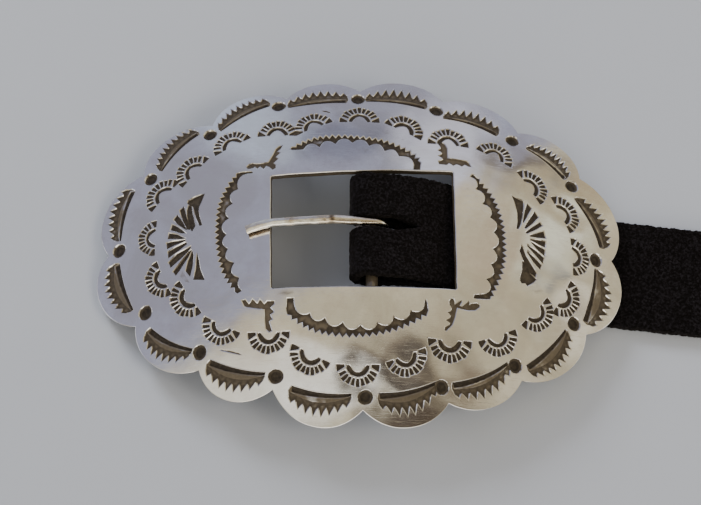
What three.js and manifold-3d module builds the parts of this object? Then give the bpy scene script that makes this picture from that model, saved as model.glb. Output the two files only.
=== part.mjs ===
// Open-centre belt buckle of stamped silver sheet on the folded end of its suede belt strap.
//
// Millimetres. Everything is laid out in the plate's own frame first: +X along the belt towards the strap,
// +Y across the belt, +Z out of the plate's face, zero at the middle of the ring of round punches. The
// whole is then leaned so that the plate's left scallops and the strap lie on one level table, and moved
// so that the origin is at the middle of the footprint on that table.

import * as THREE from 'three';
import { mergeVertices } from 'three/addons/utils/BufferGeometryUtils.js';
import Module from 'manifold-3d';

const wasm = await Module();
wasm.setup();

// Driving dimensions, each given once.

const clearance = 0.3;            // kept between pieces that only touch

const plate = {
  ringX: 50,                      // half length of the ring of round punches
  ringY: 33,                      // half width of that ring
  rise: 5.9,                      // height of the dome above the ring
  power: 2.35,                    // how flat the dome's middle is
  bend: 5.8,                      // drop of the ring's two ends, the curve that follows the waist
  gauge: 1.5,                     // thickness of the sheet
  reach: 6.4,                     // how far a scallop's crown stands out from the ring
  roundness: 2.2,                 // exponent of a scallop's arc
  windowLength: 37.8,             // opening along the belt
  windowWidth: 26,                // opening across the belt
};

const stamps = {
  punchRadius: 1.5,               // round punch between two scallops
  punchDepth: 0.45,
  crescentLength: 12.8,           // crescent gouge inside each scallop
  crescentWidth: 1.4,
  crescentOffset: 0.9,            // from the ring of punches to the gouge's inner edge
  crescentDepth: 0.32,
};

const bar = {
  radius: 1.25,                   // round wire soldered under the window's long edges
  x: 2.0,                         // off the window's middle, towards the strap
  bite: 0.25,                     // how far the wire is let into the sheet at the window's edge
  overlap: 5,                     // soldered length beyond each edge of the window
};

const strap = {
  thickness: 2.4,                 // one layer of the suede strip
  width: 24.3,                    // width of the free run
  windowRoom: 1.55,               // the fold is trimmed to leave this at each side of the window
  foldSlack: 0.8,                 // the fold is drawn this far off the bar
  tailReach: 33,                  // from the bar to the turned-under layer's end
  freeEnd: 79,                    // where the free run ends
  layerGap: 0.4,                  // between the two layers beyond the bar
  edgeChamfer: 0.35,
};

const slot = {
  sideRoom: 0.45,                 // between the slot's sides and the tongue
  y: 2.4,                         // where the slot and the tongue cross the bar
  upperReach: 9.3,                // from the bar to the slot's rounded end in the upper layer
  lowerRoom: 1.45,                // from the tongue's eye to its end in the turned-under layer
};

const tongue = {
  wire: 2.2,                      // drawn wire with hammered, rounded corners
  corner: 0.55,                   // how far the hammering takes its corners in
  eyeEnd: 195,                    // degrees where the open eye's cut end stops, left of the bar
  arch: 1.1,                      // how far the arm bows up between the bar and the window's edge
  drift: 2.2,                     // how far the tip lies to the side of the slot
  tipOver: 4.9,                   // how far the tip reaches over the window's left edge
};

// Places on the ring, one row for each scallop, counterclockwise from the right end: the corner that
// starts the scallop in degrees and its reach, the crown's reach, and the round punch's degrees and its
// offset from the ring. All reaches are shares of plate.reach. The outline is cut by hand, so no two
// scallops are the same.
const scallops = [
  [0, 0.50, 1.02, -1, -0.08],
  [29, 0.66, 1.05, 28, 0.12],
  [50, 0.48, 0.91, 50, 0],
  [70.5, 0.51, 1.01, 71.5, -0.03],
  [90.5, 0.46, 0.90, 91, 0.05],
  [108, 0.44, 0.97, 110.5, 0.13],
  [128, 0.37, 0.88, 130, 0],
  [152, 0.41, 0.86, 152, 0.05],
  [181.5, 0.44, 1.00, 180.5, 0.06],
  [208, 0.46, 0.92, 207, -0.06],
  [230.5, 0.38, 0.86, 228.5, -0.12],
  [249.5, 0.22, 1.06, 249.5, -0.2],
  [270.5, 0.52, 1.06, 271, 0.12],
  [290, 0.53, 0.93, 289, 0.01],
  [309, 0.52, 0.94, 309, 0.02],
  [332.5, 0.52, 0.98, 332, 0],
];

// Window corners as shares of its length and width, counterclockwise from the upper right.
const windowCorners = [
  [0.5, 0.577],
  [-0.503, 0.505],
  [-0.489, -0.465],
  [0.511, -0.446],
];

// The tongue's arm between the bar and the window's edge: share of the way, share of the arch, share of
// the drift. And over the edge: share of the way to the tip, share of the drift.
const armBow = [
  [0.12, 0.25, 0.01],
  [0.25, 0.72, 0.04],
  [0.4, 1, 0.09],
  [0.6, 0.72, 0.19],
  [0.81, 0.42, 0.32],
  [1, 0, 0.45],
];
const armOver = [
  [0.53, 0.68],
  [1, 1],
];

// The strap's sideways place as shares of its width: at the fold, then along its run.
const foldPlace = 0.041;
// In the window: share of the way from the fold to the window's edge, share of the drop, place.
const strapInWindow = [
  [0.38, 0.18, 0.039],
  [0.72, 0.54, 0.033],
];
// Under the plate: x as a share of the ring's half length, sag below the sheet as a share of the strap's
// thickness, place.
const strapUnderPlate = [
  [0.38, 0.05, 0.025],
  [0.6, 0.5, 0.01],
  [0.78, 0.75, -0.006],
  [0.94, 0.65, -0.027],
];
// On the table: share of the way from the rim to the free end, place.
const strapOnTable = [
  [0, -0.053],
  [0.42, -0.111],
  [0.73, -0.154],
  [1, -0.193],
];

// The plate's curved face.

/** Height of the plate's face over a point: a flattened dome less the waist's bend. */
function faceHeight(x, y) {
  const rho = Math.hypot(x / plate.ringX, y / plate.ringY);
  return plate.rise * (1 - rho ** plate.power) - plate.bend * (x / plate.ringX) ** 2;
}

/** Unit normal of the face over a point. */
function faceNormal(x, y) {
  const d = 0.01;
  const dx = (faceHeight(x + d, y) - faceHeight(x - d, y)) / (2 * d);
  const dy = (faceHeight(x, y + d) - faceHeight(x, y - d)) / (2 * d);
  return new THREE.Vector3(-dx, -dy, 1).normalize();
}

/** A point at a signed distance from the face, along its normal. */
function offFace(x, y, distance) {
  return new THREE.Vector3(x, y, faceHeight(x, y)).addScaledVector(faceNormal(x, y), distance);
}

/** Height of the sheet's underside below a point of the face. */
function undersideHeight(x, y) {
  return faceHeight(x, y) - plate.gauge / faceNormal(x, y).z;
}

/** Where the window's long edge runs at x: the upper one in plan for side 1, the lower one for side -1. */
function windowSide(x, side) {
  const [right, left] = side > 0 ? [windowCorners[0], windowCorners[1]] : [windowCorners[3], windowCorners[2]];
  const u = (x / plate.windowLength - left[0]) / (right[0] - left[0]);
  return THREE.MathUtils.lerp(left[1], right[1], u) * plate.windowWidth;
}

// Sizes that follow from the ones above.
const windowEdgeX = plate.windowLength / 2;
const barZ = undersideHeight(bar.x, windowSide(bar.x, 1)) + bar.bite - bar.radius;
const foldInner = bar.radius + clearance;
const foldMiddle = foldInner + strap.thickness / 2;
const foldWidth = plate.windowWidth - 2 * strap.windowRoom;
const eyeMiddle = bar.radius + clearance + tongue.wire / 2;
const eyeOuter = eyeMiddle + tongue.wire / 2;

/** A point beside the ring of punches: degrees round it and a distance outwards. */
function besideRing(degrees, distance) {
  const t = THREE.MathUtils.degToRad(degrees);
  const nx = Math.cos(t) / plate.ringX;
  const ny = Math.sin(t) / plate.ringY;
  const n = Math.hypot(nx, ny);
  return [
    plate.ringX * Math.cos(t) + (distance * nx) / n,
    plate.ringY * Math.sin(t) + (distance * ny) / n,
  ];
}

/** Scallop i's start and end on the ring: degrees and reach of both corners, and the crown's reach. */
function scallop(i) {
  const [start, low, crown] = scallops[i];
  const next = scallops[(i + 1) % scallops.length];
  return { start, end: next[0] + (i === scallops.length - 1 ? 360 : 0), low, high: next[1], crown };
}

/** Outline point on scallop i, u from 0 at its first corner to 1 at its last. */
function outline(i, u) {
  const s = scallop(i);
  const corners = THREE.MathUtils.lerp(s.low, s.high, u);
  const swell = (s.crown - (s.low + s.high) / 2) * (1 - Math.abs(2 * u - 1) ** plate.roundness);
  return besideRing(THREE.MathUtils.lerp(s.start, s.end, u), plate.reach * (corners + swell));
}

// Solids.

/** Closed geometry from vertices and triangles. */
function solidFrom(points, faces) {
  const g = new THREE.BufferGeometry();
  g.setAttribute('position', new THREE.Float32BufferAttribute(points.flatMap((p) => [p.x, p.y, p.z]), 3));
  g.setIndex(faces.flat());
  return g;
}

/** Two triangles of a quad. */
function quad(a, b, c, d) {
  return [[a, b, c], [a, c, d]];
}

/** A manifold solid from a geometry. */
function toManifold(geometry) {
  const g = geometry.clone();
  g.deleteAttribute('normal');
  g.deleteAttribute('uv');
  const m = mergeVertices(g, 1e-4);
  return new wasm.Manifold(new wasm.Mesh({
    numProp: 3,
    vertProperties: new Float32Array(m.attributes.position.array),
    triVerts: new Uint32Array(m.index.array),
  }));
}

/** A geometry from a manifold solid. */
function fromManifold(solid) {
  const m = solid.getMesh();
  const g = new THREE.BufferGeometry();
  g.setAttribute('position', new THREE.BufferAttribute(new Float32Array(m.vertProperties), 3));
  g.setIndex(new THREE.BufferAttribute(new Uint32Array(m.triVerts), 1));
  return g;
}

/** Sweep of a closed section along stations; each station gives the section's points in order. */
function sweep(stations) {
  const n = stations[0].length;
  const faces = [];
  for (let i = 0; i < stations.length - 1; i += 1) {
    for (let j = 0; j < n; j += 1) {
      const k = (j + 1) % n;
      faces.push(...quad(i * n + j, i * n + k, (i + 1) * n + k, (i + 1) * n + j));
    }
  }
  const last = (stations.length - 1) * n;
  for (let j = 1; j < n - 1; j += 1) {
    faces.push([0, j + 1, j], [last, last + j, last + j + 1]);
  }
  return solidFrom(stations.flat(), faces);
}

/** Prism that follows the face from a depth below it to just above it, over a closed outline. */
function faceTool(outlinePoints, depth) {
  const contour = outlinePoints.map(([x, y]) => new THREE.Vector2(x, y));
  const cap = THREE.ShapeUtils.triangulateShape(contour, []);
  const n = contour.length;
  const points = [
    ...contour.map((p) => offFace(p.x, p.y, -depth)),
    ...contour.map((p) => offFace(p.x, p.y, 0.8)),
  ];
  const faces = [];
  for (const [a, b, c] of cap) faces.push([a, c, b], [a + n, b + n, c + n]);
  for (let j = 0; j < n; j += 1) {
    const k = (j + 1) % n;
    faces.push(...quad(j, k, k + n, j + n));
  }
  return solidFrom(points, faces);
}

// Buckle plate: scalloped, domed sheet with its window and the soldered bar.

const columnsPerScallop = 10;
const rowsToRing = 6;
const rowsToEdge = 2;

/** Window edge point for each column, with the four corners on the columns nearest to them. */
function windowEdge(columns) {
  const corners = windowCorners.map(([sx, sy]) => new THREE.Vector2(
    sx * plate.windowLength,
    sy * plate.windowWidth,
  ));
  const ring = columns.map(({ i, u }) => {
    const s = scallop(i);
    const [x, y] = besideRing(THREE.MathUtils.lerp(s.start, s.end, u), 0);
    return Math.atan2(y / plate.ringY, x / plate.ringX);
  });
  const at = corners.map((c) => {
    const angle = Math.atan2(c.y / plate.ringY, c.x / plate.ringX);
    let best = 0;
    ring.forEach((r, k) => {
      const off = (a) => Math.abs(Math.atan2(Math.sin(a - angle), Math.cos(a - angle)));
      if (off(r) < off(ring[best])) best = k;
    });
    return best;
  });
  const n = columns.length;
  return columns.map((_, k) => {
    for (let c = 0; c < 4; c += 1) {
      const from = at[c];
      const span = (at[(c + 1) % 4] - from + n) % n;
      const along = (k - from + n) % n;
      if (along < span) return corners[c].clone().lerp(corners[(c + 1) % 4], along / span);
    }
    return corners[0].clone();
  });
}

function sheet() {
  const columns = [];
  for (let i = 0; i < scallops.length; i += 1) {
    for (let j = 0; j < columnsPerScallop; j += 1) columns.push({ i, u: j / columnsPerScallop });
  }
  const inner = windowEdge(columns);
  const rows = rowsToRing + rowsToEdge;
  const n = columns.length;
  const plan = [];
  for (let r = 0; r <= rows; r += 1) {
    columns.forEach(({ i, u }, k) => {
      const s = scallop(i);
      const [rx, ry] = besideRing(THREE.MathUtils.lerp(s.start, s.end, u), 0);
      const [ox, oy] = outline(i, u);
      const share = r <= rowsToRing ? r / rowsToRing : (r - rowsToRing) / rowsToEdge;
      plan.push(r <= rowsToRing
        ? [THREE.MathUtils.lerp(inner[k].x, rx, share), THREE.MathUtils.lerp(inner[k].y, ry, share)]
        : [THREE.MathUtils.lerp(rx, ox, share), THREE.MathUtils.lerp(ry, oy, share)]);
    });
  }
  const points = [
    ...plan.map(([x, y]) => offFace(x, y, 0)),
    ...plan.map(([x, y]) => offFace(x, y, -plate.gauge)),
  ];
  const below = plan.length;
  const faces = [];
  const band = (from, to, flip) => {
    for (let k = 0; k < n; k += 1) {
      const l = (k + 1) % n;
      const corners = [from * n + k, to * n + k, to * n + l, from * n + l];
      faces.push(...(flip ? quad(...corners.reverse().map((v) => v + below)) : quad(...corners)));
    }
  };
  for (let r = 0; r < rows; r += 1) band(r, r + 1, false);
  for (let r = 0; r < rows; r += 2) band(r, r + 2, true);
  for (let k = 0; k < n; k += 1) {
    const l = (k + 1) % n;
    const edge = rows * n;
    faces.push(...quad(edge + k, below + edge + k, below + edge + l, edge + l));
    faces.push(...quad(k, l, below + l, below + k));
  }
  return solidFrom(points, faces);
}

function roundPunch([, , , degrees, offset]) {
  const [cx, cy] = besideRing(degrees, offset * plate.reach);
  const sides = 12;
  return faceTool(Array.from({ length: sides }, (_, j) => {
    const t = (2 * Math.PI * j) / sides;
    return [cx + stamps.punchRadius * Math.cos(t), cy + stamps.punchRadius * Math.sin(t)];
  }), stamps.punchDepth);
}

function crescent(i) {
  const s = scallop(i);
  const mid = (s.start + s.end) / 2;
  const [ax, ay] = besideRing(s.start, 0);
  const [bx, by] = besideRing(s.end, 0);
  const half = ((s.end - s.start) / 2) * (stamps.crescentLength / Math.hypot(bx - ax, by - ay));
  const steps = 8;
  const inner = [];
  const outer = [];
  for (let j = 0; j <= steps; j += 1) {
    const u = (2 * j) / steps - 1;
    inner.push(besideRing(mid + u * half, stamps.crescentOffset));
    const width = stamps.crescentWidth * (0.25 + 0.75 * Math.sqrt(1 - u * u));
    outer.push(besideRing(mid + u * half, stamps.crescentOffset + width));
  }
  return faceTool([...inner.reverse(), ...outer], stamps.crescentDepth);
}

function barRod() {
  const from = windowSide(bar.x, -1) - bar.overlap;
  const to = windowSide(bar.x, 1) + bar.overlap;
  const g = new THREE.CylinderGeometry(bar.radius, bar.radius, to - from, 24);
  g.translate(bar.x, (from + to) / 2, barZ);
  return g;
}

function bucklePlate() {
  let solid = toManifold(sheet()).add(toManifold(barRod()));
  for (const row of scallops) solid = solid.subtract(toManifold(roundPunch(row)));
  scallops.forEach((_, i) => { solid = solid.subtract(toManifold(crescent(i))); });
  return fromManifold(solid);
}

// Tongue: one length of wire, its eye bent open round the bar, the arm over the window's left edge.

function tonguePath() {
  const path = [];
  const end = THREE.MathUtils.degToRad(tongue.eyeEnd - 360);
  const steps = 26;
  for (let j = 0; j <= steps; j += 1) {
    const a = THREE.MathUtils.lerp(end, Math.PI / 2, j / steps);
    path.push([bar.x + eyeMiddle * Math.cos(a), slot.y, barZ + eyeMiddle * Math.sin(a)]);
  }
  const rest = (x, y) => faceHeight(x, y) + clearance + tongue.wire / 2;
  const edge = rest(-windowEdgeX, slot.y);
  for (const [way, bow, drift] of armBow) {
    path.push([
      THREE.MathUtils.lerp(bar.x, -windowEdgeX, way),
      slot.y - drift * tongue.drift,
      THREE.MathUtils.lerp(barZ + eyeMiddle, edge, way) + bow * tongue.arch,
    ]);
  }
  for (const [way, drift] of armOver) {
    const x = -windowEdgeX - way * tongue.tipOver;
    const y = slot.y - drift * tongue.drift;
    path.push([x, y, rest(x, y)]);
  }
  return path;
}

function tongueSolid() {
  const path = tonguePath();
  const half = tongue.wire / 2;
  const near = half - tongue.corner;
  const section = [
    [half, near], [near, half], [-near, half], [-half, near],
    [-half, -near], [-near, -half], [near, -half], [half, -near],
  ];
  return sweep(path.map(([x, y, z], i) => {
    const before = path[Math.max(i - 1, 0)];
    const after = path[Math.min(i + 1, path.length - 1)];
    const along = new THREE.Vector2(after[0] - before[0], after[2] - before[2]).normalize();
    return section.map(([v, w]) => new THREE.Vector3(x - along.y * w, y + v, z + along.x * w));
  }));
}

// Strap: one suede strip, turned under round the bar, with the tongue's slot through the fold.

/** The upper layer's middle line, from the fold's top to the free end. */
function strapRun(tableHeight) {
  const foldX = bar.x - strap.foldSlack;
  const half = strap.thickness / 2;
  const edge = foldWidth / 2 + strap.windowRoom;
  const under = (x) => undersideHeight(x, edge) - clearance - half;
  const top = barZ + foldMiddle;
  const low = under(windowEdgeX);
  const rim = plate.ringX + plate.reach * 0.8;
  const at = (x, place, z) => new THREE.Vector3(x, place * strap.width, z);
  const curve = new THREE.CatmullRomCurve3([
    at(foldX, foldPlace, top),
    ...strapInWindow.map(([way, drop, place]) => at(
      THREE.MathUtils.lerp(foldX, windowEdgeX, way),
      place,
      THREE.MathUtils.lerp(top, low, drop),
    )),
    ...strapUnderPlate.map(([x, sag, place]) => at(
      x * plate.ringX,
      place,
      under(x * plate.ringX) - sag * strap.thickness,
    )),
    ...strapOnTable.map(([way, place]) => {
      const x = THREE.MathUtils.lerp(rim, strap.freeEnd, way);
      return at(x, place, tableHeight(x) + half);
    }),
  ], false, 'centripetal');
  const run = curve.getSpacedPoints(44);
  for (const p of run) p.z = Math.max(p.z, tableHeight(p.x) + half);
  return run;
}

/** The whole strip's middle line: turned-under layer, fold, upper layer. */
function strapPath(tableHeight) {
  const run = strapRun(tableHeight);
  const pitch = strap.thickness + strap.layerGap;
  const under = (x) => {
    const i = Math.max(1, run.findIndex((p) => p.x >= x));
    const [a, b] = [run[i - 1], run[i]];
    const along = new THREE.Vector2(b.x - a.x, b.z - a.z).normalize();
    const p = a.clone().lerp(b, (x - a.x) / (b.x - a.x));
    const settle = THREE.MathUtils.smoothstep(x, bar.x, windowEdgeX);
    const away = 2 * foldMiddle - (run[0].z - p.z);
    p.x += along.y * pitch * settle;
    p.z -= THREE.MathUtils.lerp(away, pitch * along.x, settle);
    return p;
  };
  const tail = [];
  const tailSteps = 18;
  for (let j = tailSteps; j > 0; j -= 1) tail.push(under(run[0].x + (j / tailSteps) * (strap.tailReach + bar.x - run[0].x)));
  const fold = [];
  const foldSteps = 14;
  for (let j = 0; j <= foldSteps; j += 1) {
    const a = -Math.PI / 2 - (Math.PI * j) / foldSteps;
    fold.push(new THREE.Vector3(
      run[0].x + foldMiddle * Math.cos(a),
      run[0].y,
      barZ + foldMiddle * Math.sin(a),
    ));
  }
  return [...tail, ...fold, ...run.slice(1)];
}

function strapSolid(tableHeight) {
  const path = strapPath(tableHeight);
  const half = strap.thickness / 2;
  const c = strap.edgeChamfer;
  const stations = path.map((p, i) => {
    const a = path[Math.max(i - 1, 0)];
    const b = path[Math.min(i + 1, path.length - 1)];
    const along = new THREE.Vector3().subVectors(b, a).normalize();
    const side = new THREE.Vector3(-along.y * Math.sign(along.x), Math.abs(along.x) + 1e-6, 0);
    side.setZ(side.x * (tableHeight(1) - tableHeight(0))).normalize();
    const out = new THREE.Vector3().crossVectors(along, side).normalize();
    const widen = THREE.MathUtils.smoothstep(p.x, windowEdgeX, plate.ringX);
    const w = THREE.MathUtils.lerp(foldWidth, strap.width, widen) / 2;
    const section = [
      [w, half - c], [w - c, half], [c - w, half], [-w, half - c],
      [-w, c - half], [c - w, -half], [w - c, -half], [w, c - half],
    ];
    return section.map(([s, t]) => p.clone().addScaledVector(side, s).addScaledVector(out, t));
  });
  return sweep(stations);
}

/** Cutter for the slot: a stadium with its rounded end towards the strap's run. */
function slotCutter(end, low, high) {
  const shape = new THREE.Shape();
  const r = tongue.wire / 2 + slot.sideRoom;
  const open = bar.x - 2 * (foldMiddle + strap.thickness);
  shape.moveTo(open, -r);
  shape.lineTo(end - r, -r);
  shape.absarc(end - r, 0, r, -Math.PI / 2, Math.PI / 2, false);
  shape.lineTo(open, r);
  shape.closePath();
  const g = new THREE.ExtrudeGeometry(shape, { depth: high - low, bevelEnabled: false, curveSegments: 10 });
  g.translate(0, slot.y, low);
  return g;
}

function slottedStrap(tableHeight) {
  const beyond = 2 * (foldMiddle + strap.thickness);
  const upper = slotCutter(bar.x + slot.upperReach, barZ, barZ + beyond);
  const lower = slotCutter(bar.x + eyeOuter + slot.lowerRoom, barZ - beyond, barZ + 0.1);
  return fromManifold(toManifold(strapSolid(tableHeight))
    .subtract(toManifold(upper))
    .subtract(toManifold(lower)));
}

// Lean: a level table touches the left scallops' underside and carries the strap under the right ones.

function lean(plateGeometry) {
  const p = plateGeometry.attributes.position;
  let left = null;
  let right = null;
  for (let k = 0; k < p.count; k += 1) {
    const v = new THREE.Vector3().fromBufferAttribute(p, k);
    if (v.x < 0 && (!left || v.z < left.z)) left = v;
    if (v.x > 0 && (!right || v.z < right.z)) right = v;
  }
  const strapBottom = right.z - clearance - strap.thickness;
  return { slope: (left.z - strapBottom) / (right.x - left.x), left };
}

function finish(geometry) {
  const g = geometry.index ? geometry.toNonIndexed() : geometry;
  g.computeVertexNormals();
  return g;
}

function piece(name, geometry, colour, roughness, metalness) {
  const material = new THREE.MeshStandardMaterial({ color: colour, roughness, metalness });
  material.name = name;
  const mesh = new THREE.Mesh(finish(geometry), material);
  mesh.name = name;
  return mesh;
}

function buckle() {
  const plateGeometry = bucklePlate();
  const { slope, left } = lean(plateGeometry);
  const tableHeight = (x) => left.z - slope * (x - left.x);
  const laid = new THREE.Group();
  laid.name = 'laid_buckle';
  laid.add(piece('buckle_plate', plateGeometry, 0xbdb8b4, 0.28, 1));
  laid.add(piece('tongue', tongueSolid(), 0xcfc6b6, 0.25, 1));
  laid.add(piece('strap', slottedStrap(tableHeight), 0x17120f, 0.95, 0));
  laid.rotation.y = -Math.atan(slope);
  const whole = new THREE.Group();
  whole.name = 'concho_belt_buckle';
  whole.add(laid);
  whole.updateMatrixWorld(true);
  const box = new THREE.Box3().setFromObject(whole, true);
  const middle = box.getCenter(new THREE.Vector3());
  laid.position.set(-middle.x, -middle.y, -box.min.z);
  whole.updateMatrixWorld(true);
  return whole;
}

export default buckle();
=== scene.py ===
"""Stamped silver belt plate on the folded end of its black suede strap.

The plate, its tongue and the strap are built in the plate's own frame, in millimetres: +X along the belt
towards the strap, +Y across it, +Z out of the face, zero at the middle of the ring of round punches.
Laid.to_table leans that frame onto the table and turns it into metres.
"""

import logging
import math
from dataclasses import dataclass, field
from enum import Enum
from typing import Any, Callable, Sequence

import bpy
import numpy as np
from mathutils import Matrix
from mathutils.geometry import delaunay_2d_cdt


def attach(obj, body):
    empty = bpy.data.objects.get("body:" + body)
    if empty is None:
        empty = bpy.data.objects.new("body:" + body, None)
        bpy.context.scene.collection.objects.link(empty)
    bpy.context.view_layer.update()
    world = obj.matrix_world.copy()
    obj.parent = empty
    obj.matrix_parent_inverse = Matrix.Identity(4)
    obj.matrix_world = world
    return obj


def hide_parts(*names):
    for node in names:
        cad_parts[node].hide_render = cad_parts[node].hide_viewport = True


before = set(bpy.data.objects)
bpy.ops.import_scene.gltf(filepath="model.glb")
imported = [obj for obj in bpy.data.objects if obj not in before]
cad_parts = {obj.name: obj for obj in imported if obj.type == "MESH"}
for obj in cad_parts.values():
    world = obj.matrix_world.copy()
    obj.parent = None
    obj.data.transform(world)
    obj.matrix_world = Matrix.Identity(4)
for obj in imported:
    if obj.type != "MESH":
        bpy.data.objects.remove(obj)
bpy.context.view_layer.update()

Array = np.ndarray
LOG = logging.getLogger("belt_plate")


# Small numeric helpers.


def smoothstep(low: float, high: float, value: Array) -> Array:
    """Cubic ease from 0 at low to 1 at high: 3 t squared less 2 t cubed, t clamped to 0 and 1."""
    t = np.clip((np.asarray(value, float) - low) / (high - low), 0.0, 1.0)
    return t * t * (3.0 - 2.0 * t)


def lerp(a: Any, b: Any, t: Any) -> Any:
    """Straight mix of a and b."""
    return a + (b - a) * t


def unit(vectors: Array) -> Array:
    """Vectors of length one along the last axis."""
    return vectors / np.maximum(np.linalg.norm(vectors, axis=-1, keepdims=True), 1e-12)


def turn(degrees: float) -> Array:
    """Rotation matrix in the plane, counterclockwise."""
    c, s = math.cos(math.radians(degrees)), math.sin(math.radians(degrees))
    return np.array([[c, -s], [s, c]])


def arc(radius: float, start: float, end: float, count: int, centre: Sequence[float] = (0.0, 0.0)) -> Array:
    """Points on a circle's arc: centre plus radius times cosine and sine of evenly spaced degrees."""
    t = np.radians(np.linspace(start, end, count))
    return np.asarray(centre) + radius * np.stack([np.cos(t), np.sin(t)], axis=1)


def through(start: Sequence[float], middle: Sequence[float], end: Sequence[float], u: Array) -> Array:
    """Parabola that passes start at u 0, middle at one half and end at 1."""
    s, m, e = (np.asarray(p, float) for p in (start, middle, end))
    u = np.asarray(u, float)[:, None]
    control = 2.0 * m - (s + e) / 2.0
    return (1 - u) ** 2 * s + 2 * u * (1 - u) * control + u ** 2 * e


def catmull(points: Array, u: Array) -> Array:
    """Smooth curve through points, u counted in points: cubic Hermite with slopes (next less last) / 2."""
    p = np.asarray(points, float)
    last = len(p) - 1
    i = np.clip(np.floor(u).astype(int), 0, last - 1)
    t = (np.asarray(u, float) - i)[:, None]
    slope = np.gradient(p, axis=0)
    a, b, ma, mb = p[i], p[i + 1], slope[i], slope[i + 1]
    t2, t3 = t * t, t * t * t
    return (2 * t3 - 3 * t2 + 1) * a + (t3 - 2 * t2 + t) * ma + (3 * t2 - 2 * t3) * b + (t3 - t2) * mb


def signed_distance(points: Array, loop: Array) -> Array:
    """Distance from each point to a closed loop, negative inside.

    The distance is the least one to any of the loop's straight sides; a point is inside where a ray from
    it crosses the sides an odd number of times.

    Args:
        points: (n, 2) places.
        loop: (m, 2) corners in order, not repeated.

    Returns:
        (n,) signed distances.
    """
    a, b = loop[None, :, :], np.roll(loop, -1, axis=0)[None, :, :]
    out = np.empty(len(points))
    for first in range(0, len(points), 4000):
        p = points[first:first + 4000, None, :]
        side = b - a
        t = np.clip(((p - a) * side).sum(-1) / np.maximum((side * side).sum(-1), 1e-12), 0.0, 1.0)
        near = np.linalg.norm(p - a - t[..., None] * side, axis=-1).min(axis=1)
        rises = (a[..., 1] > p[..., 1]) != (b[..., 1] > p[..., 1])
        run = np.where(np.abs(side[..., 1]) < 1e-12, 1e-12, side[..., 1])
        cross = a[..., 0] + (p[..., 1] - a[..., 1]) * side[..., 0] / run
        inside = (rises & (p[..., 0] < cross)).sum(axis=1) % 2 == 1
        out[first:first + 4000] = np.where(inside, -near, near)
    return out


def counterclockwise(loop: Array) -> Array:
    """The loop in counterclockwise order."""
    x, y = loop[:, 0], loop[:, 1]
    area = (x * np.roll(y, -1) - y * np.roll(x, -1)).sum()
    return loop if area > 0 else loop[::-1]


def offset_loop(loop: Array, distance: float, limit: float = 1.5) -> Array:
    """A counterclockwise loop moved outwards by a distance, its corners mitred up to a limit.

    Each corner moves along the mean of its two sides' normals, by the distance over the cosine of half
    the turn. Where that would reach far past a sharp corner, it stops at the limit.
    """
    before = unit(loop - np.roll(loop, 1, axis=0))
    after = unit(np.roll(loop, -1, axis=0) - loop)
    normal_before = np.stack([before[:, 1], -before[:, 0]], axis=1)
    normal_after = np.stack([after[:, 1], -after[:, 0]], axis=1)
    mean = unit(normal_before + normal_after)
    cosine = np.maximum((mean * normal_after).sum(axis=1), 0.08)
    bend = before[:, 0] * after[:, 1] - before[:, 1] * after[:, 0]
    pointed = bend * distance > 0
    reach = np.where(pointed, np.minimum(1.0 / cosine, limit), np.minimum(1.0 / cosine, 6.0))
    return loop + mean * (distance * reach)[:, None]


def triangulate(loops: Sequence[Array], free: Array) -> tuple[Array, Array]:
    """Delaunay triangles over the plane that keep every loop's sides as edges.

    Args:
        loops: closed loops in the plane.
        free: loose points between them.

    Returns:
        Places (n, 2) and triangles (m, 3), counterclockwise.
    """
    points = np.vstack([*loops, free])
    sides = []
    first = 0
    for loop in loops:
        index = np.arange(first, first + len(loop))
        sides.append(np.stack([index, np.roll(index, -1)], axis=1))
        first += len(loop)
    made = delaunay_2d_cdt(points.tolist(), np.vstack(sides).tolist(), [], 0, 1e-5, False)
    places = np.array([tuple(v) for v in made[0]])
    faces = np.array(made[2], dtype=int)
    a, b, c = (places[faces[:, k]] for k in range(3))
    area = (b[:, 0] - a[:, 0]) * (c[:, 1] - a[:, 1]) - (b[:, 1] - a[:, 1]) * (c[:, 0] - a[:, 0])
    faces[area < 0] = faces[area < 0][:, ::-1]
    return places, faces[np.abs(area) > 1e-9]


def hexagonal(low: Sequence[float], high: Sequence[float], step: float, seed: int) -> Array:
    """Points on a triangular grid over a box, each moved by up to a fifth of the step."""
    rng = np.random.default_rng(seed)
    x, y = np.meshgrid(np.arange(low[0], high[0], step), np.arange(low[1], high[1], step * 0.866))
    x = x + (np.arange(len(x)) % 2)[:, None] * step / 2
    grid = np.stack([x.ravel(), y.ravel()], axis=1)
    return grid + rng.uniform(-0.2, 0.2, grid.shape) * step


def ring_strip(first: Array, second: Array) -> Array:
    """Quads between two closed rings of vertex numbers, as pairs of triangles."""
    a, b = first, np.roll(first, -1)
    c, d = np.roll(second, -1), second
    return np.vstack([np.stack([a, b, c], axis=1), np.stack([a, c, d], axis=1)])


def nearest(points: Array, wanted: Array) -> Array:
    """Number of the point nearest to each wanted place."""
    found = np.empty(len(wanted), dtype=int)
    for first in range(0, len(wanted), 200):
        part = wanted[first:first + 200, None, :]
        found[first:first + 200] = ((part - points[None, :, :]) ** 2).sum(-1).argmin(axis=1)
    return found


# From the plate's frame to the table.


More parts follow.
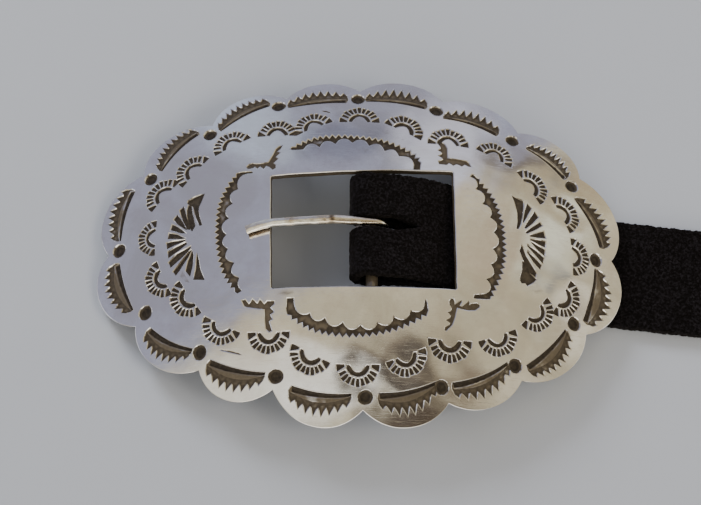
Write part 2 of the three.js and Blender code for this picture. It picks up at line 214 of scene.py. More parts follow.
@dataclass(frozen=True)
class Laid:
    """How the plate's frame lies on the table: leaned about Y, then moved, in millimetres."""

    lean_deg: float = -1.45692
    shift: tuple[float, float, float] = (-13.12993, 0.23888, 11.61057)

    def matrix(self) -> Array:
        """Rotation about Y by the lean."""
        c, s = math.cos(math.radians(self.lean_deg)), math.sin(math.radians(self.lean_deg))
        return np.array([[c, 0.0, s], [0.0, 1.0, 0.0], [-s, 0.0, c]])

    def to_table(self, points: Array) -> Array:
        """Points of the plate's frame in metres on the table."""
        return (points @ self.matrix().T + np.asarray(self.shift)) / 1000.0

    def turned(self, vectors: Array) -> Array:
        """Directions of the plate's frame on the table."""
        return vectors @ self.matrix().T


LAID = Laid()


def make_piece(name: str, points: Array, faces: Array, normals: Array | None = None,
               values: dict[str, Array] | None = None) -> bpy.types.Object:
    """A smooth mesh object from arrays in the plate's frame.

    Args:
        name: the object's name.
        points: (n, 3) millimetres in the plate's frame.
        faces: (m, 3) triangles that face outwards.
        normals: (n, 3) directions to shade with, where the mesh's own would not do.
        values: named numbers on the vertices, for the finish.

    Returns:
        The linked object, at the origin.
    """
    used, renumbered = np.unique(faces, return_inverse=True)
    points, faces = points[used], renumbered.reshape(faces.shape)
    mesh = bpy.data.meshes.new(name)
    placed = LAID.to_table(points)
    mesh.vertices.add(len(placed))
    mesh.vertices.foreach_set("co", placed.ravel())
    mesh.loops.add(faces.size)
    mesh.loops.foreach_set("vertex_index", faces.ravel())
    mesh.polygons.add(len(faces))
    mesh.polygons.foreach_set("loop_start", np.arange(0, faces.size, 3))
    mesh.polygons.foreach_set("use_smooth", np.ones(len(faces), dtype=bool))
    for key, value in (values or {}).items():
        mesh.attributes.new(key, "FLOAT", "POINT").data.foreach_set("value", value[used].astype(np.float32))
    mesh.update(calc_edges=True)
    mesh.validate()
    if normals is not None:
        mesh.normals_split_custom_set_from_vertices(LAID.turned(normals[used]).tolist())
    obj = bpy.data.objects.new(name, mesh)
    bpy.context.scene.collection.objects.link(obj)
    return obj


def vertex_normals(points: Array, faces: Array) -> Array:
    """Mean of the normals of the faces round each vertex, weighted by their areas."""
    a, b, c = (points[faces[:, k]] for k in range(3))
    face = np.cross(b - a, c - a)
    total = np.zeros_like(points)
    for k in range(3):
        np.add.at(total, faces[:, k], face)
    return unit(total)


# The plate's form.


@dataclass(frozen=True)
class Scallop:
    """One scallop of the rim, and the round punch at its first corner.

    start is the corner's place in degrees round the ring; corner and crown are how far the outline
    stands out there and at the scallop's middle, and off how far the punch is set off the ring, all as
    shares of the plate's reach; punch is the punch's place in degrees.
    """

    start: float
    corner: float
    crown: float
    punch: float
    off: float


@dataclass
class PlateForm:
    """Sizes of the domed sheet, as in the part's source, and its face as formulas."""

    ring_x: float = 50.0
    ring_y: float = 33.0
    rise: float = 5.9
    power: float = 2.35
    bend: float = 5.8
    gauge: float = 1.5
    reach: float = 6.4
    roundness: float = 2.2
    window_length: float = 37.8
    window_width: float = 26.0
    window_corners: tuple[tuple[float, float], ...] = (
        (0.5, 0.577), (-0.503, 0.505), (-0.489, -0.465), (0.511, -0.446))
    scallops: tuple[Scallop, ...] = (
        Scallop(0, 0.50, 1.02, -1, -0.08), Scallop(29, 0.66, 1.05, 28, 0.12),
        Scallop(50, 0.48, 0.91, 50, 0.0), Scallop(70.5, 0.51, 1.01, 71.5, -0.03),
        Scallop(90.5, 0.46, 0.90, 91, 0.05), Scallop(108, 0.44, 0.97, 110.5, 0.13),
        Scallop(128, 0.37, 0.88, 130, 0.0), Scallop(152, 0.41, 0.86, 152, 0.05),
        Scallop(181.5, 0.44, 1.00, 180.5, 0.06), Scallop(208, 0.46, 0.92, 207, -0.06),
        Scallop(230.5, 0.38, 0.86, 228.5, -0.12), Scallop(249.5, 0.22, 1.06, 249.5, -0.20),
        Scallop(270.5, 0.52, 1.06, 271, 0.12), Scallop(290, 0.53, 0.93, 289, 0.01),
        Scallop(309, 0.52, 0.94, 309, 0.02), Scallop(332.5, 0.52, 0.98, 332, 0.0))

    def height(self, xy: Array) -> Array:
        """The face over a place: rise times (1 less rho to the power), less the waist's bend."""
        rho = np.hypot(xy[..., 0] / self.ring_x, xy[..., 1] / self.ring_y)
        return self.rise * (1 - rho ** self.power) - self.bend * (xy[..., 0] / self.ring_x) ** 2

    def gradient(self, xy: Array, step: float = 0.01) -> Array:
        """Slope of the face along x and y, by central differences."""
        dx, dy = np.array([step, 0.0]), np.array([0.0, step])
        return np.stack([(self.height(xy + dx) - self.height(xy - dx)) / (2 * step),
                         (self.height(xy + dy) - self.height(xy - dy)) / (2 * step)], axis=-1)

    def normal(self, xy: Array) -> Array:
        """Unit normal of the face."""
        slope = self.gradient(xy)
        return unit(np.stack([-slope[..., 0], -slope[..., 1], np.ones(slope.shape[:-1])], axis=-1))

    def off_face(self, xy: Array, distance: Any) -> Array:
        """Points at a signed distance from the face, along its normal."""
        base = np.concatenate([xy, self.height(xy)[..., None]], axis=-1)
        return base + self.normal(xy) * np.asarray(distance)[..., None]

    def beside_ring(self, degrees: Any, distance: Any) -> Array:
        """Places beside the ring of punches: the ellipse's point plus its normal times a distance."""
        t = np.radians(np.asarray(degrees, float))
        ring = np.stack([self.ring_x * np.cos(t), self.ring_y * np.sin(t)], axis=-1)
        out = unit(np.stack([np.cos(t) / self.ring_x, np.sin(t) / self.ring_y], axis=-1))
        return ring + out * np.asarray(distance, float)[..., None]

    def span(self, number: int) -> tuple[float, float]:
        """Degrees of a scallop's two corners."""
        start = self.scallops[number].start
        following = self.scallops[(number + 1) % len(self.scallops)].start
        return start, following + (360.0 if following <= start else 0.0)

    def outline(self, per_scallop: int) -> Array:
        """The sheet's outline: on each scallop the corners' reach mixed along it, plus a swell of
        (crown less the mean of the corners) times (1 less |2u - 1| to the roundness)."""
        parts = []
        u = np.arange(per_scallop) / per_scallop
        for number, scallop in enumerate(self.scallops):
            start, end = self.span(number)
            low, high = scallop.corner, self.scallops[(number + 1) % len(self.scallops)].corner
            swell = (scallop.crown - (low + high) / 2) * (1 - np.abs(2 * u - 1) ** self.roundness)
            parts.append(self.beside_ring(lerp(start, end, u), self.reach * (lerp(low, high, u) + swell)))
        return np.vstack(parts)

    def window(self, per_side: int) -> Array:
        """The window's outline, its sides bowed a little as cut by hand and its corners just rounded."""
        corners = np.array(self.window_corners) * (self.window_length, self.window_width)
        bows = (-0.05, 0.06, 0.05, -0.04)
        parts = []
        for number, bow in enumerate(bows):
            a, b = corners[number], corners[(number + 1) % 4]
            across = unit(np.array([b[1] - a[1], a[0] - b[0]]))
            corner = 0.28 / np.linalg.norm(b - a)
            u = np.linspace(corner, 1 - corner, per_side)
            wave = bow * np.sin(math.pi * u) + 0.03 * np.sin(u * 23 + number)
            parts.append(lerp(a, b, u[:, None]) + across * wave[:, None])
        return np.vstack(parts)

    def place(self, x: float, y: float, facing: float, local: Array) -> Array:
        """A flat shape laid on the face.

        Args:
            x, y: where its zero goes.
            facing: degrees in plan of its first axis.
            local: (n, 2) shape in true millimetres, first axis along the facing.

        Returns:
            (n, 2) places in plan: each axis is shortened by the root of 1 plus its slope squared.
        """
        axes = turn(facing)
        slope = self.gradient(np.array([x, y])) @ axes
        shrink = 1.0 / np.sqrt(1.0 + slope ** 2)
        return np.array([x, y]) + (local * shrink) @ axes.T


# Stamps.


@dataclass
class Cut:
    """One closed mark struck into the face.

    depth is how far the floor lies under the face, dark how blackened it is, burr how high the metal
    stands round it, wall how wide its sloping side is, rub how bright its rim is worn, and fade how much
    of the black has gone from the middle of a wide floor.
    """

    loop: Array
    depth: float = 0.30
    dark: float = 0.9
    burr: float = 0.06
    wall: float = 0.14
    rub: float = 0.0
    fade: float = 0.36

    def rings(self) -> list[Array]:
        """The loops that carry the mark's relief: foot of the burr, its crest, and the floor's edge."""
        loop = counterclockwise(self.loop)
        return [offset_loop(loop, 0.20), offset_loop(loop, 0.08), offset_loop(loop, 0.08 - self.wall)]


class Ornament:
    """A struck ornament, made of cuts."""

    def cuts(self, form: PlateForm) -> list[Cut]:
        """The ornament's marks in plan."""
        raise NotImplementedError


@dataclass
class RoundPunch(Ornament):
    """The deep round punch between two scallops."""

    scallop: Scallop
    radius: float = 1.45

    def cuts(self, form: PlateForm) -> list[Cut]:
        """One circle, a little out of round."""
        x, y = form.beside_ring(self.scallop.punch, self.scallop.off * form.reach)
        t = np.linspace(0, 2 * math.pi, 28, endpoint=False)
        r = self.radius * (1 + 0.03 * np.sin(2 * t + x) + 0.02 * np.sin(3 * t + y))
        local = np.stack([r * np.cos(t), r * np.sin(t)], axis=1)
        plan = form.place(x, y, 0.0, local)
        inner = form.place(x, y, 0.0, local * 0.72)
        return [Cut(plan, depth=0.48, dark=0.85, wall=0.2, burr=0.09), Cut(inner, depth=0.62, dark=1.0, wall=0.2, burr=0.0, fade=0.12)]


@dataclass
class Fan(Ornament):
    """A fan: a crescent, a plain raised ring round it, rays, and a wedge at each end.

    x and y are the middle of its straight side, facing the degrees it opens to, strength how deep it was
    struck, and crescent how thick its crescent came out.
    """

    x: float
    y: float
    facing: float
    size: float = 1.0
    strength: float = 1.0
    crescent: float = 1.0

    def cuts(self, form: PlateForm) -> list[Cut]:
        """Crescent between two arcs, nine tapering rays and two wedges."""
        shapes: list[tuple[Array, float]] = []
        outer = arc(2.30, -88, 88, 15)
        inner = through((0.0, 1.75), (2.30 - 1.02 * self.crescent, 0.0), (0.0, -1.75), np.linspace(0.0, 1.0, 13))
        shapes.append((np.vstack([outer, inner]), 0.40))
        for k, angle in enumerate(np.linspace(-62, 62, 9)):
            half = np.degrees(0.26 / 2.75)
            wide = np.degrees(0.38 / 4.2)
            tip = 4.2 + 0.12 * math.sin(k * 2.1 + self.x)
            ray = np.vstack([arc(2.70, angle + half, angle - half, 2), arc(tip, angle - wide, angle + wide, 4)])
            shapes.append((ray, 0.27))
        for side in (-1, 1):
            wedge = np.vstack([arc(2.7, side * 91, side * 82, 3), arc(4.3, side * 72, side * 92, 6)])
            shapes.append((wedge, 0.30))
        return [Cut(form.place(self.x, self.y, self.facing, loop * self.size), depth=deep * self.strength,
                    wall=0.12) for loop, deep in shapes]


@dataclass
class RimComb(Ornament):
    """The toothed crescent inside a scallop: a gouge, a shallow band beside it, and teeth that point out.

    first and second are the ends of its inner side, the blunt end first. bow, root and tip are how far
    the middles of the inner side, of the teeth's roots and of their points stand out from the line
    between those ends, in millimetres.
    """

    first: tuple[float, float]
    second: tuple[float, float]
    bow: float
    root: float
    tip: float
    teeth: int = 8
    wide: float = 1.95
    narrow: float = 1.25

    def at(self, s: Array, d: Array) -> Array:
        """Places at a share s between the ends and d millimetres out from the line between them."""
        a, b = np.asarray(self.first), np.asarray(self.second)
        out = unit(np.array([a[1] - b[1], b[0] - a[0]]))
        out *= np.sign((out * (a + b)).sum())
        return a + np.asarray(s)[:, None] * (b - a) + np.asarray(d)[:, None] * out

    def lines(self, s: Array) -> tuple[Array, Array, Array]:
        """Inner side, roots and points over s: each a straight mix of its ends plus 4 s (1 - s) times
        what its middle stands out beyond them."""
        hump = 4 * s * (1 - s)
        root = lerp(self.wide, self.narrow, s) + (self.root - (self.wide + self.narrow) / 2) * hump
        return self.bow * hump, root, lerp(3.0, 2.2, s) + (self.tip - 2.6) * hump

    def cuts(self, form: PlateForm) -> list[Cut]:
        """The shallow band, the deep gouge in it, and the teeth."""
        s = np.linspace(0, 1, 17)
        inner, root, _ = self.lines(s)
        band = np.vstack([self.at(s, inner), self.at([1.02], [0.62 * self.narrow]), self.at(s[::-1], root[::-1]),
                          self.at([-0.035, -0.045, -0.02], np.array([0.85, 0.5, 0.18]) * self.wide)])
        gouge = np.vstack([self.at(s, inner + 0.06), self.at(s[::-1], (inner + lerp(1.2, 0.6, s))[::-1])])
        made = [Cut(band, depth=0.20, dark=0.76, wall=0.16, fade=0.10),
                Cut(gouge, depth=0.50, dark=1.0, wall=0.24, burr=0.0, rub=0.34, fade=0.16)]
        tips = np.linspace(0.015, 0.955, self.teeth)
        pitch = tips[1] - tips[0]
        for at in tips:
            low, high = max(at - 0.5 * pitch, -0.03), min(at + 0.5 * pitch, 1.0)
            feet = np.array([low, low, at - 0.31 * pitch, at, at + 0.31 * pitch, high, high])
            _, root, tip = self.lines(np.clip(feet, 0, 1))
            rise = tip - root
            d = root + rise * np.array([0, 0.03, 0.30, 1.0, 0.30, 0.03, 0]) - np.array([0.7, 0, 0, 0, 0, 0, 0.7])
            made.append(Cut(self.at(feet, d), depth=0.36, dark=0.86, wall=0.16, burr=0.07))
        return made


@dataclass
class HalfSun(Ornament):
    """A half sun beside the window: rays that spread from a hub, and a curved horn at each end.

    Each mark is a loop of corners in plan; faint ones were struck lightly.
    """

    marks: tuple[tuple[tuple[float, float], ...], ...]
    faint: tuple[tuple[tuple[float, float], ...], ...] = ()
    swell: float = 0.07

    def cuts(self, form: PlateForm) -> list[Cut]:
        """A deep cut for each mark and a shallow one for each faint mark."""
        marks = [offset_loop(counterclockwise(np.array(loop)), self.swell) for loop in self.marks]
        return [*(Cut(loop, depth=0.34, dark=0.92, wall=0.18, burr=0.06, fade=0.1) for loop in marks),
                *(Cut(np.array(loop), depth=0.08, dark=0.35, wall=0.2, burr=0.02) for loop in self.faint)]


@dataclass
class WindowComb(Ornament):
    """The long comb along a side of the window: fine teeth outside, plain scallops bitten in inside.

    tips is a run of points along the teeth's outer line, cusps the points between the bites, both from
    one end of the comb to the other. bare is how far from either end the teeth begin.
    """

    tips: tuple[tuple[float, float], ...]
    cusps: tuple[tuple[float, float], ...]
    teeth: int = 24
    bare: tuple[float, float] = (2.0, 2.0)
    tooth: float = 0.9
    bite: float = 0.34

    def cuts(self, form: PlateForm) -> list[Cut]:
        """One loop: a zigzag along the outer line, and back along the inner one in arcs.

        A bite's height over its chord is bite times the chord's length times (1 less |2p - 1| to the
        2.3), with p from 0 to 1 along the chord.
        """
        middle = np.mean(self.cusps, axis=0)
        knots = np.asarray(self.tips, float)
        length = np.concatenate([[0.0], np.cumsum(np.linalg.norm(np.diff(knots, axis=0), axis=1))])
        even = np.interp(np.linspace(0, length[-1], 2 * self.teeth + 1), length, np.arange(len(knots)))
        line = catmull(knots, even)
        run = np.gradient(line, axis=0)
        side = unit(np.stack([run[:, 1], -run[:, 0]], axis=1))
        side *= np.sign(((middle - line[len(line) // 2]) * side[len(side) // 2]).sum())
        along = np.linspace(0, length[-1], len(line))
        inward = np.minimum(along - self.bare[0], along[::-1] - self.bare[1])
        depth = self.tooth * np.clip(inward / 1.6, 0.06, 1.0) * (np.arange(len(line)) % 2 == 0)
        zigzag = line + side * depth[:, None]
        arcs = []
        p = np.arange(6)[:, None] / 6
        for a, b in zip(np.asarray(self.cusps[:-1]), np.asarray(self.cusps[1:])):
            away = np.array([b[1] - a[1], a[0] - b[0]])
            away *= np.sign((away * (a + b)).sum())
            bite = self.bite * float(smoothstep(2.3, 3.3, np.linalg.norm(b - a)))
            arcs.append(lerp(a, b, p) + away * bite * (1 - np.abs(2 * p - 1) ** 2.3))
        inside = np.vstack([*arcs, np.asarray(self.cusps[-1:])])
        return [Cut(np.vstack([zigzag, inside[::-1]]), depth=0.28, dark=0.90, wall=0.14, burr=0.06)]


@dataclass
class CornerMark(Ornament):
    """The toothed angle off a corner of the window: two arms from a vertex, as one loop of corners."""

    loop: tuple[tuple[float, float], ...]

    def cuts(self, form: PlateForm) -> list[Cut]:
        """One cut."""
        return [Cut(np.array(self.loop), depth=0.26, dark=0.8, wall=0.16, burr=0.05)]


@dataclass
class StrayLine(Ornament):
    """A thin curved slip of the tool."""

    start: tuple[float, float]
    middle: tuple[float, float]
    end: tuple[float, float]
    width: float = 0.3

    def cuts(self, form: PlateForm) -> list[Cut]:
        """A sliver round a parabola, widest in its middle."""
        u = np.linspace(0, 1, 9)
        line = through(self.start, self.middle, self.end, u)
        run = unit(np.gradient(line, axis=0))
        side = np.stack([-run[:, 1], run[:, 0]], axis=1) * (self.width / 2 * np.sin(math.pi * u) ** 0.7)[:, None]
        return [Cut(np.vstack([line + side, (line - side)[1:-1][::-1]]), depth=0.14, wall=0.2, burr=0.03)]


@dataclass
class Dent:
    """A soft hollow that a blow left round a stamp: depth times the cube-eased fall over a radius."""

    x: float
    y: float
    radius: float
    depth: float

    def height(self, xy: Array) -> Array:
        """How far the face is pushed down, as a negative height."""
        r = np.hypot(xy[:, 0] - self.x, xy[:, 1] - self.y) / self.radius
        return -self.depth * (1 - smoothstep(0.0, 1.0, r))


@dataclass
class Smudge:
    """A soft stain of tarnish: strength times the eased fall over an ellipse of half sizes wide and high."""

    x: float
    y: float
    wide: float
    high: float
    strength: float

    def darkness(self, xy: Array) -> Array:
        """How dark the stain is."""
        r = np.hypot((xy[:, 0] - self.x) / self.wide, (xy[:, 1] - self.y) / self.high)
        return self.strength * (1 - smoothstep(0.2, 1.0, r))


@dataclass
class BucklePlate:
    """The stamped sheet with its window and the soldered bar."""

    form: PlateForm = field(default_factory=PlateForm)
    bar_radius: float = 1.25
    bar_x: float = 2.0
    bar_bite: float = 0.25
    bar_overlap: float = 5.0
    grain: float = 1.0
    fans: tuple[Fan, ...] = (
        Fan(-42.8, 1.3, 179, 0.92, 0.7, 0.55), Fan(-41.1, 10.8, 139, 1.0, 0.9, 0.7),
        Fan(-34.9, 15.8, 141, 1.0, 0.8, 0.6), Fan(-27.2, 21.5, 118, 0.97, 0.85, 0.7),
        Fan(-17.9, 23.5, 88, 0.97, 0.95, 0.75), Fan(-10.1, 25.1, 115, 0.97, 0.8, 0.6),
        Fan(-0.6, 26.8, 90, 0.98, 0.8, 0.6), Fan(8.5, 24.7, 62, 1.0, 1.0, 0.85),
        Fan(18.1, 21.9, 89, 1.02, 0.9, 0.7), Fan(27.8, 19.9, 64, 0.96, 0.7, 0.55),
        Fan(35.2, 13.6, 34, 1.0, 1.0, 0.85), Fan(42.0, 8.4, 26, 1.02, 0.9, 0.75),
        Fan(44.2, -0.9, 2, 0.97, 1.0, 0.8), Fan(41.7, -10.3, -28, 1.0, 1.0, 0.95),
        Fan(35.7, -14.3, -41, 1.0, 0.9, 0.7), Fan(27.7, -20.3, -67, 1.0, 0.85, 0.6),
        Fan(17.9, -22.1, -90, 1.06, 1.05, 0.85), Fan(8.9, -25.6, -68, 1.0, 0.9, 0.7),
        Fan(-0.7, -27.7, -90, 1.02, 0.95, 0.8), Fan(-10.2, -25.5, -117, 1.0, 1.0, 0.9),
        Fan(-18.8, -21.1, -91, 1.0, 0.95, 0.8), Fan(-28.3, -19.0, -118, 0.97, 0.9, 0.8),
        Fan(-35.1, -12.6, -146, 1.0, 1.0, 0.95), Fan(-40.7, -7.9, -156, 0.95, 0.95, 0.85))
    combs: tuple[RimComb, ...] = (
        RimComb((50.3, 2.5), (45.2, 12.9), 0.73, 3.1, 5.0, 9), RimComb((42.9, 17.4), (35.0, 23.7), 0.6, 2.9, 4.9, 9),
        RimComb((28.5, 25.9), (17.3, 29.0), 0.75, 2.8, 5.1), RimComb((13.3, 31.3), (0.8, 32.7), 0.5, 2.6, 5.1),
        RimComb((-3.4, 32.2), (-15.6, 31.1), 0.33, 2.6, 4.4), RimComb((-19.6, 32.0), (-29.8, 26.0), 0.61, 3.0, 4.6, 9),
        RimComb((-34.4, 25.8), (-42.0, 17.3), 0.75, 3.1, 4.8, 9), RimComb((-47.6, 13.4), (-50.1, 2.0), 0.57, 2.9, 4.5),
        RimComb((-50.1, -3.2), (-46.8, -13.6), 0.45, 3.1, 4.6), RimComb((-43.0, -17.9), (-34.2, -23.1), 0.7, 3.2, 5.0),
        RimComb((-30.5, -25.6), (-19.4, -28.8), 0.6, 3.3, 5.1), RimComb((-13.9, -31.5), (-2.0, -33.1), 0.68, 3.2, 5.2),
        RimComb((3.6, -32.9), (15.0, -30.3), 0.64, 3.3, 5.4), RimComb((18.5, -30.2), (29.8, -25.2), 0.77, 3.1, 5.1),
        RimComb((33.9, -25.3), (42.2, -16.9), 0.53, 3.3, 5.0, 9), RimComb((46.2, -14.3), (49.1, -2.6), 0.43, 3.5, 5.4))
    window_combs: tuple[WindowComb, ...] = (
        WindowComb(((-23.0, 14.6), (-26.3, 14.2), (-28.7, 10.7), (-30.0, 7.1), (-30.4, 2.2), (-30.1, -2.5), (-29.0, -7.5),
                    (-27.4, -10.8), (-25.4, -12.8)),
                   ((-22.7, 14.1), (-25.8, 10.5), (-26.8, 7.15), (-27.5, 3.8), (-27.9, 0.15), (-27.5, -3.0), (-26.1, -6.2),
                    (-25.0, -9.5), (-24.4, -12.3)), 25, (2.6, 0.2)),
        WindowComb(((-15.2, 19.8), (-13.0, 21.5), (-9.5, 22.8), (-4.6, 23.2), (0.2, 22.9), (5.0, 22.0), (9.4, 20.0),
                    (12.0, 17.7), (11.9, 14.7)),
                   ((-14.6, 19.5), (-12.4, 19.5), (-9.0, 20.0), (-5.7, 20.8), (-2.15, 21.1), (1.35, 20.35), (4.6, 19.15),
                    (7.6, 18.0), (10.6, 14.8)), 25, (0.3, 1.6)),
        WindowComb(((-15.2, -14.3), (-15.1, -17.6), (-12.0, -20.3), (-8.5, -21.7), (-3.4, -22.4), (1.5, -22.2), (6.4, -21.1),
                    (9.9, -19.6), (13.2, -17.4), (13.1, -14.3)),
                   ((-13.9, -14.3), (-13.4, -16.8), (-10.6, -17.5), (-7.5, -18.5), (-3.9, -19.4), (-0.3, -19.85), (3.2, -19.4),
                    (6.4, -18.0), (9.85, -16.7), (12.7, -14.4)), 27, (3.0, 2.4)),
        WindowComb(((23.0, 15.0), (25.0, 13.5), (27.3, 10.4), (28.7, 7.2), (29.6, 3.5), (29.9, -0.3), (29.8, -4.0),
                    (28.9, -7.9), (27.4, -11.3), (26.4, -12.9), (22.8, -13.2)),
                   ((22.6, 14.3), (23.7, 11.4), (25.0, 8.0), (26.5, 5.0), (27.2, 1.7), (26.9, -2.0), (26.5, -5.5),
                    (25.4, -8.8), (25.3, -12.0), (23.0, -12.4)), 26, (1.0, 3.0)))
    suns: tuple[HalfSun, ...] = (
        HalfSun((
            ((31.3, 10.9), (33.8, 10), (33.8, 8.8), (33.4, 6), (33.1, 4.5), (32.5, 3.3), (32.2, 3.3), (32.5, 5), (32.5, 7), (32, 9.3)),
            ((34.6, 9.6), (35.5, 8.6), (34.7, 7), (33.7, 4.9), (33.6, 5), (34, 7)),
            ((36.2, 7.9), (36.9, 6.7), (35.7, 5.2), (34.1, 3.6), (33.9, 3.8), (35, 5.7)),
            ((37.3, 5.6), (37.7, 4.9), (36.3, 3.8), (34.3, 2.5), (34.1, 2.7), (35.8, 4.3)),
            ((38, 3.6), (38.3, 2.1), (36.7, 2), (35.1, 2), (35.1, 2.2), (36.4, 2.8)),
            ((38.3, 1.3), (38.2, 0), (36.7, 0.5), (35.1, 1.1), (35.1, 1.3), (36.7, 1.3)),
            ((38.1, -0.6), (38.1, -2), (36.7, -1), (35.3, 0.5), (35.3, 0.7), (36.8, -0.1)),
            ((37.9, -2.4), (37.6, -3.7), (36, -2), (34.4, -0.4), (34.4, -0.1), (36.2, -1.2)),
            ((37.3, -4.1), (37, -5.1), (35.7, -3.8), (34.3, -1.8), (34.4, -1.5), (35.8, -2.8)),
            ((33.1, -0.3), (33.5, -1.3), (34, -2.7), (35.3, -4.7), (36.2, -6), (35.9, -7.1), (34.7, -6), (33.5, -3.7), (32.7, -1.8)),
            ((33.2, -3.9), (33.9, -4.3), (34.9, -6.5), (36.1, -7.4), (35.3, -8.3), (34.2, -9.1), (33.8, -8.5), (33, -8.7), (32.7, -8.2), (32.8, -7.3), (33.2, -6)))),
        HalfSun((
            ((-32.7, 10.3), (-33.4, 8.5), (-33.9, 7.2), (-34, 6.2), (-33.7, 4.8), (-33.1, 2.9), (-33.6, 2.8), (-34.3, 4.5), (-34.8, 6.5), (-35.1, 7.5), (-35.7, 7.8), (-36.3, 8.4), (-36.1, 8.9), (-34.8, 9.6)),
            ((-36, 7.8), (-35.5, 7.5), (-35.2, 5.7), (-34.5, 2.9), (-35.1, 1.7), (-35.7, 2.7), (-36.1, 4.7), (-36.3, 6.7)),
            ((-37.8, 6.9), (-37, 7.7), (-36.5, 5.3), (-35.5, 2.1), (-36.1, 2.3), (-37.2, 4.8)),
            ((-39, 4.9), (-38.3, 5.9), (-37.2, 4), (-36.1, 2), (-36.9, 2.7), (-38.2, 3.8)),
            ((-39.6, 2.6), (-39.3, 3.8), (-38, 3), (-36.3, 1.4), (-37.3, 1.6), (-38.7, 2.3)),
            ((-40.1, 0.7), (-39.9, 1.9), (-38.3, 1.4), (-36.4, 0.3), (-36.8, 0.2), (-38.5, 0.5)),
            ((-40.2, -1.6), (-40.3, -0.3), (-38.5, -0.1), (-36.5, -0.1), (-36.5, -0.3), (-38.3, -0.8)),
            ((-39.9, -3.7), (-39.9, -2.3), (-38.3, -1.5), (-36.3, -0.6), (-36.1, -1), (-37.8, -2.3)),
            ((-39.3, -5.8), (-39.7, -4.7), (-38, -3), (-35.3, -1.7), (-35.3, -2.2), (-37.2, -4)),
            ((-38.2, -7.7), (-38.7, -6.8), (-37.2, -5), (-35.2, -2.4), (-35.1, -2.9), (-36.3, -4.8), (-37.5, -6.7)),
            ((-35.2, -8.3), (-36.1, -7), (-35.7, -5), (-34.9, -2.7), (-34.7, -3.7), (-34.8, -6)),
            ((-32.2, -9.3), (-34.4, -9), (-34, -6.7), (-33.9, -4.7), (-33.9, -3.1), (-33.6, -4.7), (-33.2, -7), (-32.5, -8.5))),
            (((-37.3, -8.1), (-36.9, -6.7), (-36.2, -7.7), (-35.1, -9.7), (-36.2, -9.3)),)))
    corners: tuple[CornerMark, ...] = (
        CornerMark(((-16.7, 20.8), (-17.4, 20.6), (-18.1, 19.9), (-18.7, 18.4), (-19.6, 16.6), (-21, 16.4), (-22.2, 16.4), (-22.9, 16.6), (-23.6, 16.4), (-24.2, 15.8), (-23.9, 15.3), (-22.9, 15.4), (-22.4, 15.8), (-21.9, 15.2), (-21.3, 15.8), (-20.6, 15), (-20.1, 15.8), (-19.4, 15.5), (-18.7, 14.7), (-18.1, 15.1), (-18.1, 15.9), (-18.6, 16.4), (-17.6, 17.4), (-18.2, 17.9), (-17.2, 18.9), (-17.9, 19.2), (-17.2, 19.9))),
        CornerMark(((16.5, 22.6), (17.4, 21.9), (17.8, 21), (17.8, 18.4), (19, 18.3), (21.8, 18.1), (22.4, 17.6), (22.9, 16.7), (22.2, 16.8), (21.4, 17.2), (20.8, 16.6), (20.1, 17), (19.6, 17.1), (19, 16.6), (18.4, 17.1), (18, 17.2), (17.6, 16.7), (16, 16.7), (15.9, 17.4), (16.9, 17.9), (16.7, 18.4), (15.9, 18.8), (16.4, 19.1), (16.7, 19.4), (16.7, 19.8), (15.9, 20.2), (16.5, 20.8), (16.5, 21.2), (16, 21.8))),
        CornerMark(((-24.4, -14.3), (-23.7, -14.2), (-22.9, -15.2), (-22.2, -14.2), (-21.2, -15.2), (-20.7, -14.3), (-19.8, -15.4), (-19.2, -14.7), (-17.8, -14.8), (-17.8, -15.4), (-18.6, -16.1), (-17.9, -16.8), (-17.9, -17.1), (-18.6, -17.5), (-18.1, -18.5), (-18.8, -18.9), (-18.4, -20), (-18.2, -20.8), (-18.7, -21), (-19.4, -20.3), (-19.6, -18.8), (-19.7, -16.4), (-21, -16.2), (-23, -15.8), (-23.8, -15.6))),
        CornerMark(((18.1, -13.6), (18.6, -13.4), (18.9, -14.1), (18.8, -14.9), (20.2, -13.8), (20.4, -14.1), (19.9, -14.9), (20.4, -15.1), (21.7, -13.9), (22.1, -14.1), (21.8, -14.8), (22.4, -14.3), (23.4, -14.1), (24.1, -14.4), (24, -14.9), (23.1, -15.6), (21.8, -15.8), (20.2, -15.6), (19.4, -15.4), (19.1, -16.5), (18.9, -17.5), (18.4, -19), (17.8, -19.6), (17.1, -20.3), (16.8, -20.2), (16.8, -19.6), (17.8, -19), (17.9, -18.6), (17, -18.1), (17.9, -17.6), (18.1, -17.1), (17.3, -16.4), (18.1, -16.2), (18.3, -15.6), (17.8, -14.9), (17.7, -14.2))))
    strays: tuple[StrayLine, ...] = (
        StrayLine((-28.9, -23.8), (-26.5, -24.4), (-24.0, -25.2)), StrayLine((-8.6, 29.9), (-7.6, 29.7), (-6.6, 29.2), 0.4))

    smudges: tuple[Smudge, ...] = (
        Smudge(-15.4, -13.2, 3.0, 1.3, 0.42), Smudge(4.6, 24.2, 2.0, 1.3, 0.36), Smudge(0.3, 19.2, 2.2, 1.0, 0.34),
        Smudge(8.0, 22.3, 1.2, 0.9, 0.30), Smudge(36.5, -9.9, 2.6, 1.4, 0.32), Smudge(21.5, 11.0, 2.4, 1.6, 0.24))

    def cuts(self) -> list[Cut]:
        """Every mark of the ornament."""
        ornaments: list[Ornament] = [*(RoundPunch(s) for s in self.form.scallops), *self.fans, *self.combs,
                                     *self.window_combs, *self.suns, *self.corners, *self.strays]
        return [cut for ornament in ornaments for cut in ornament.cuts(self.form)]

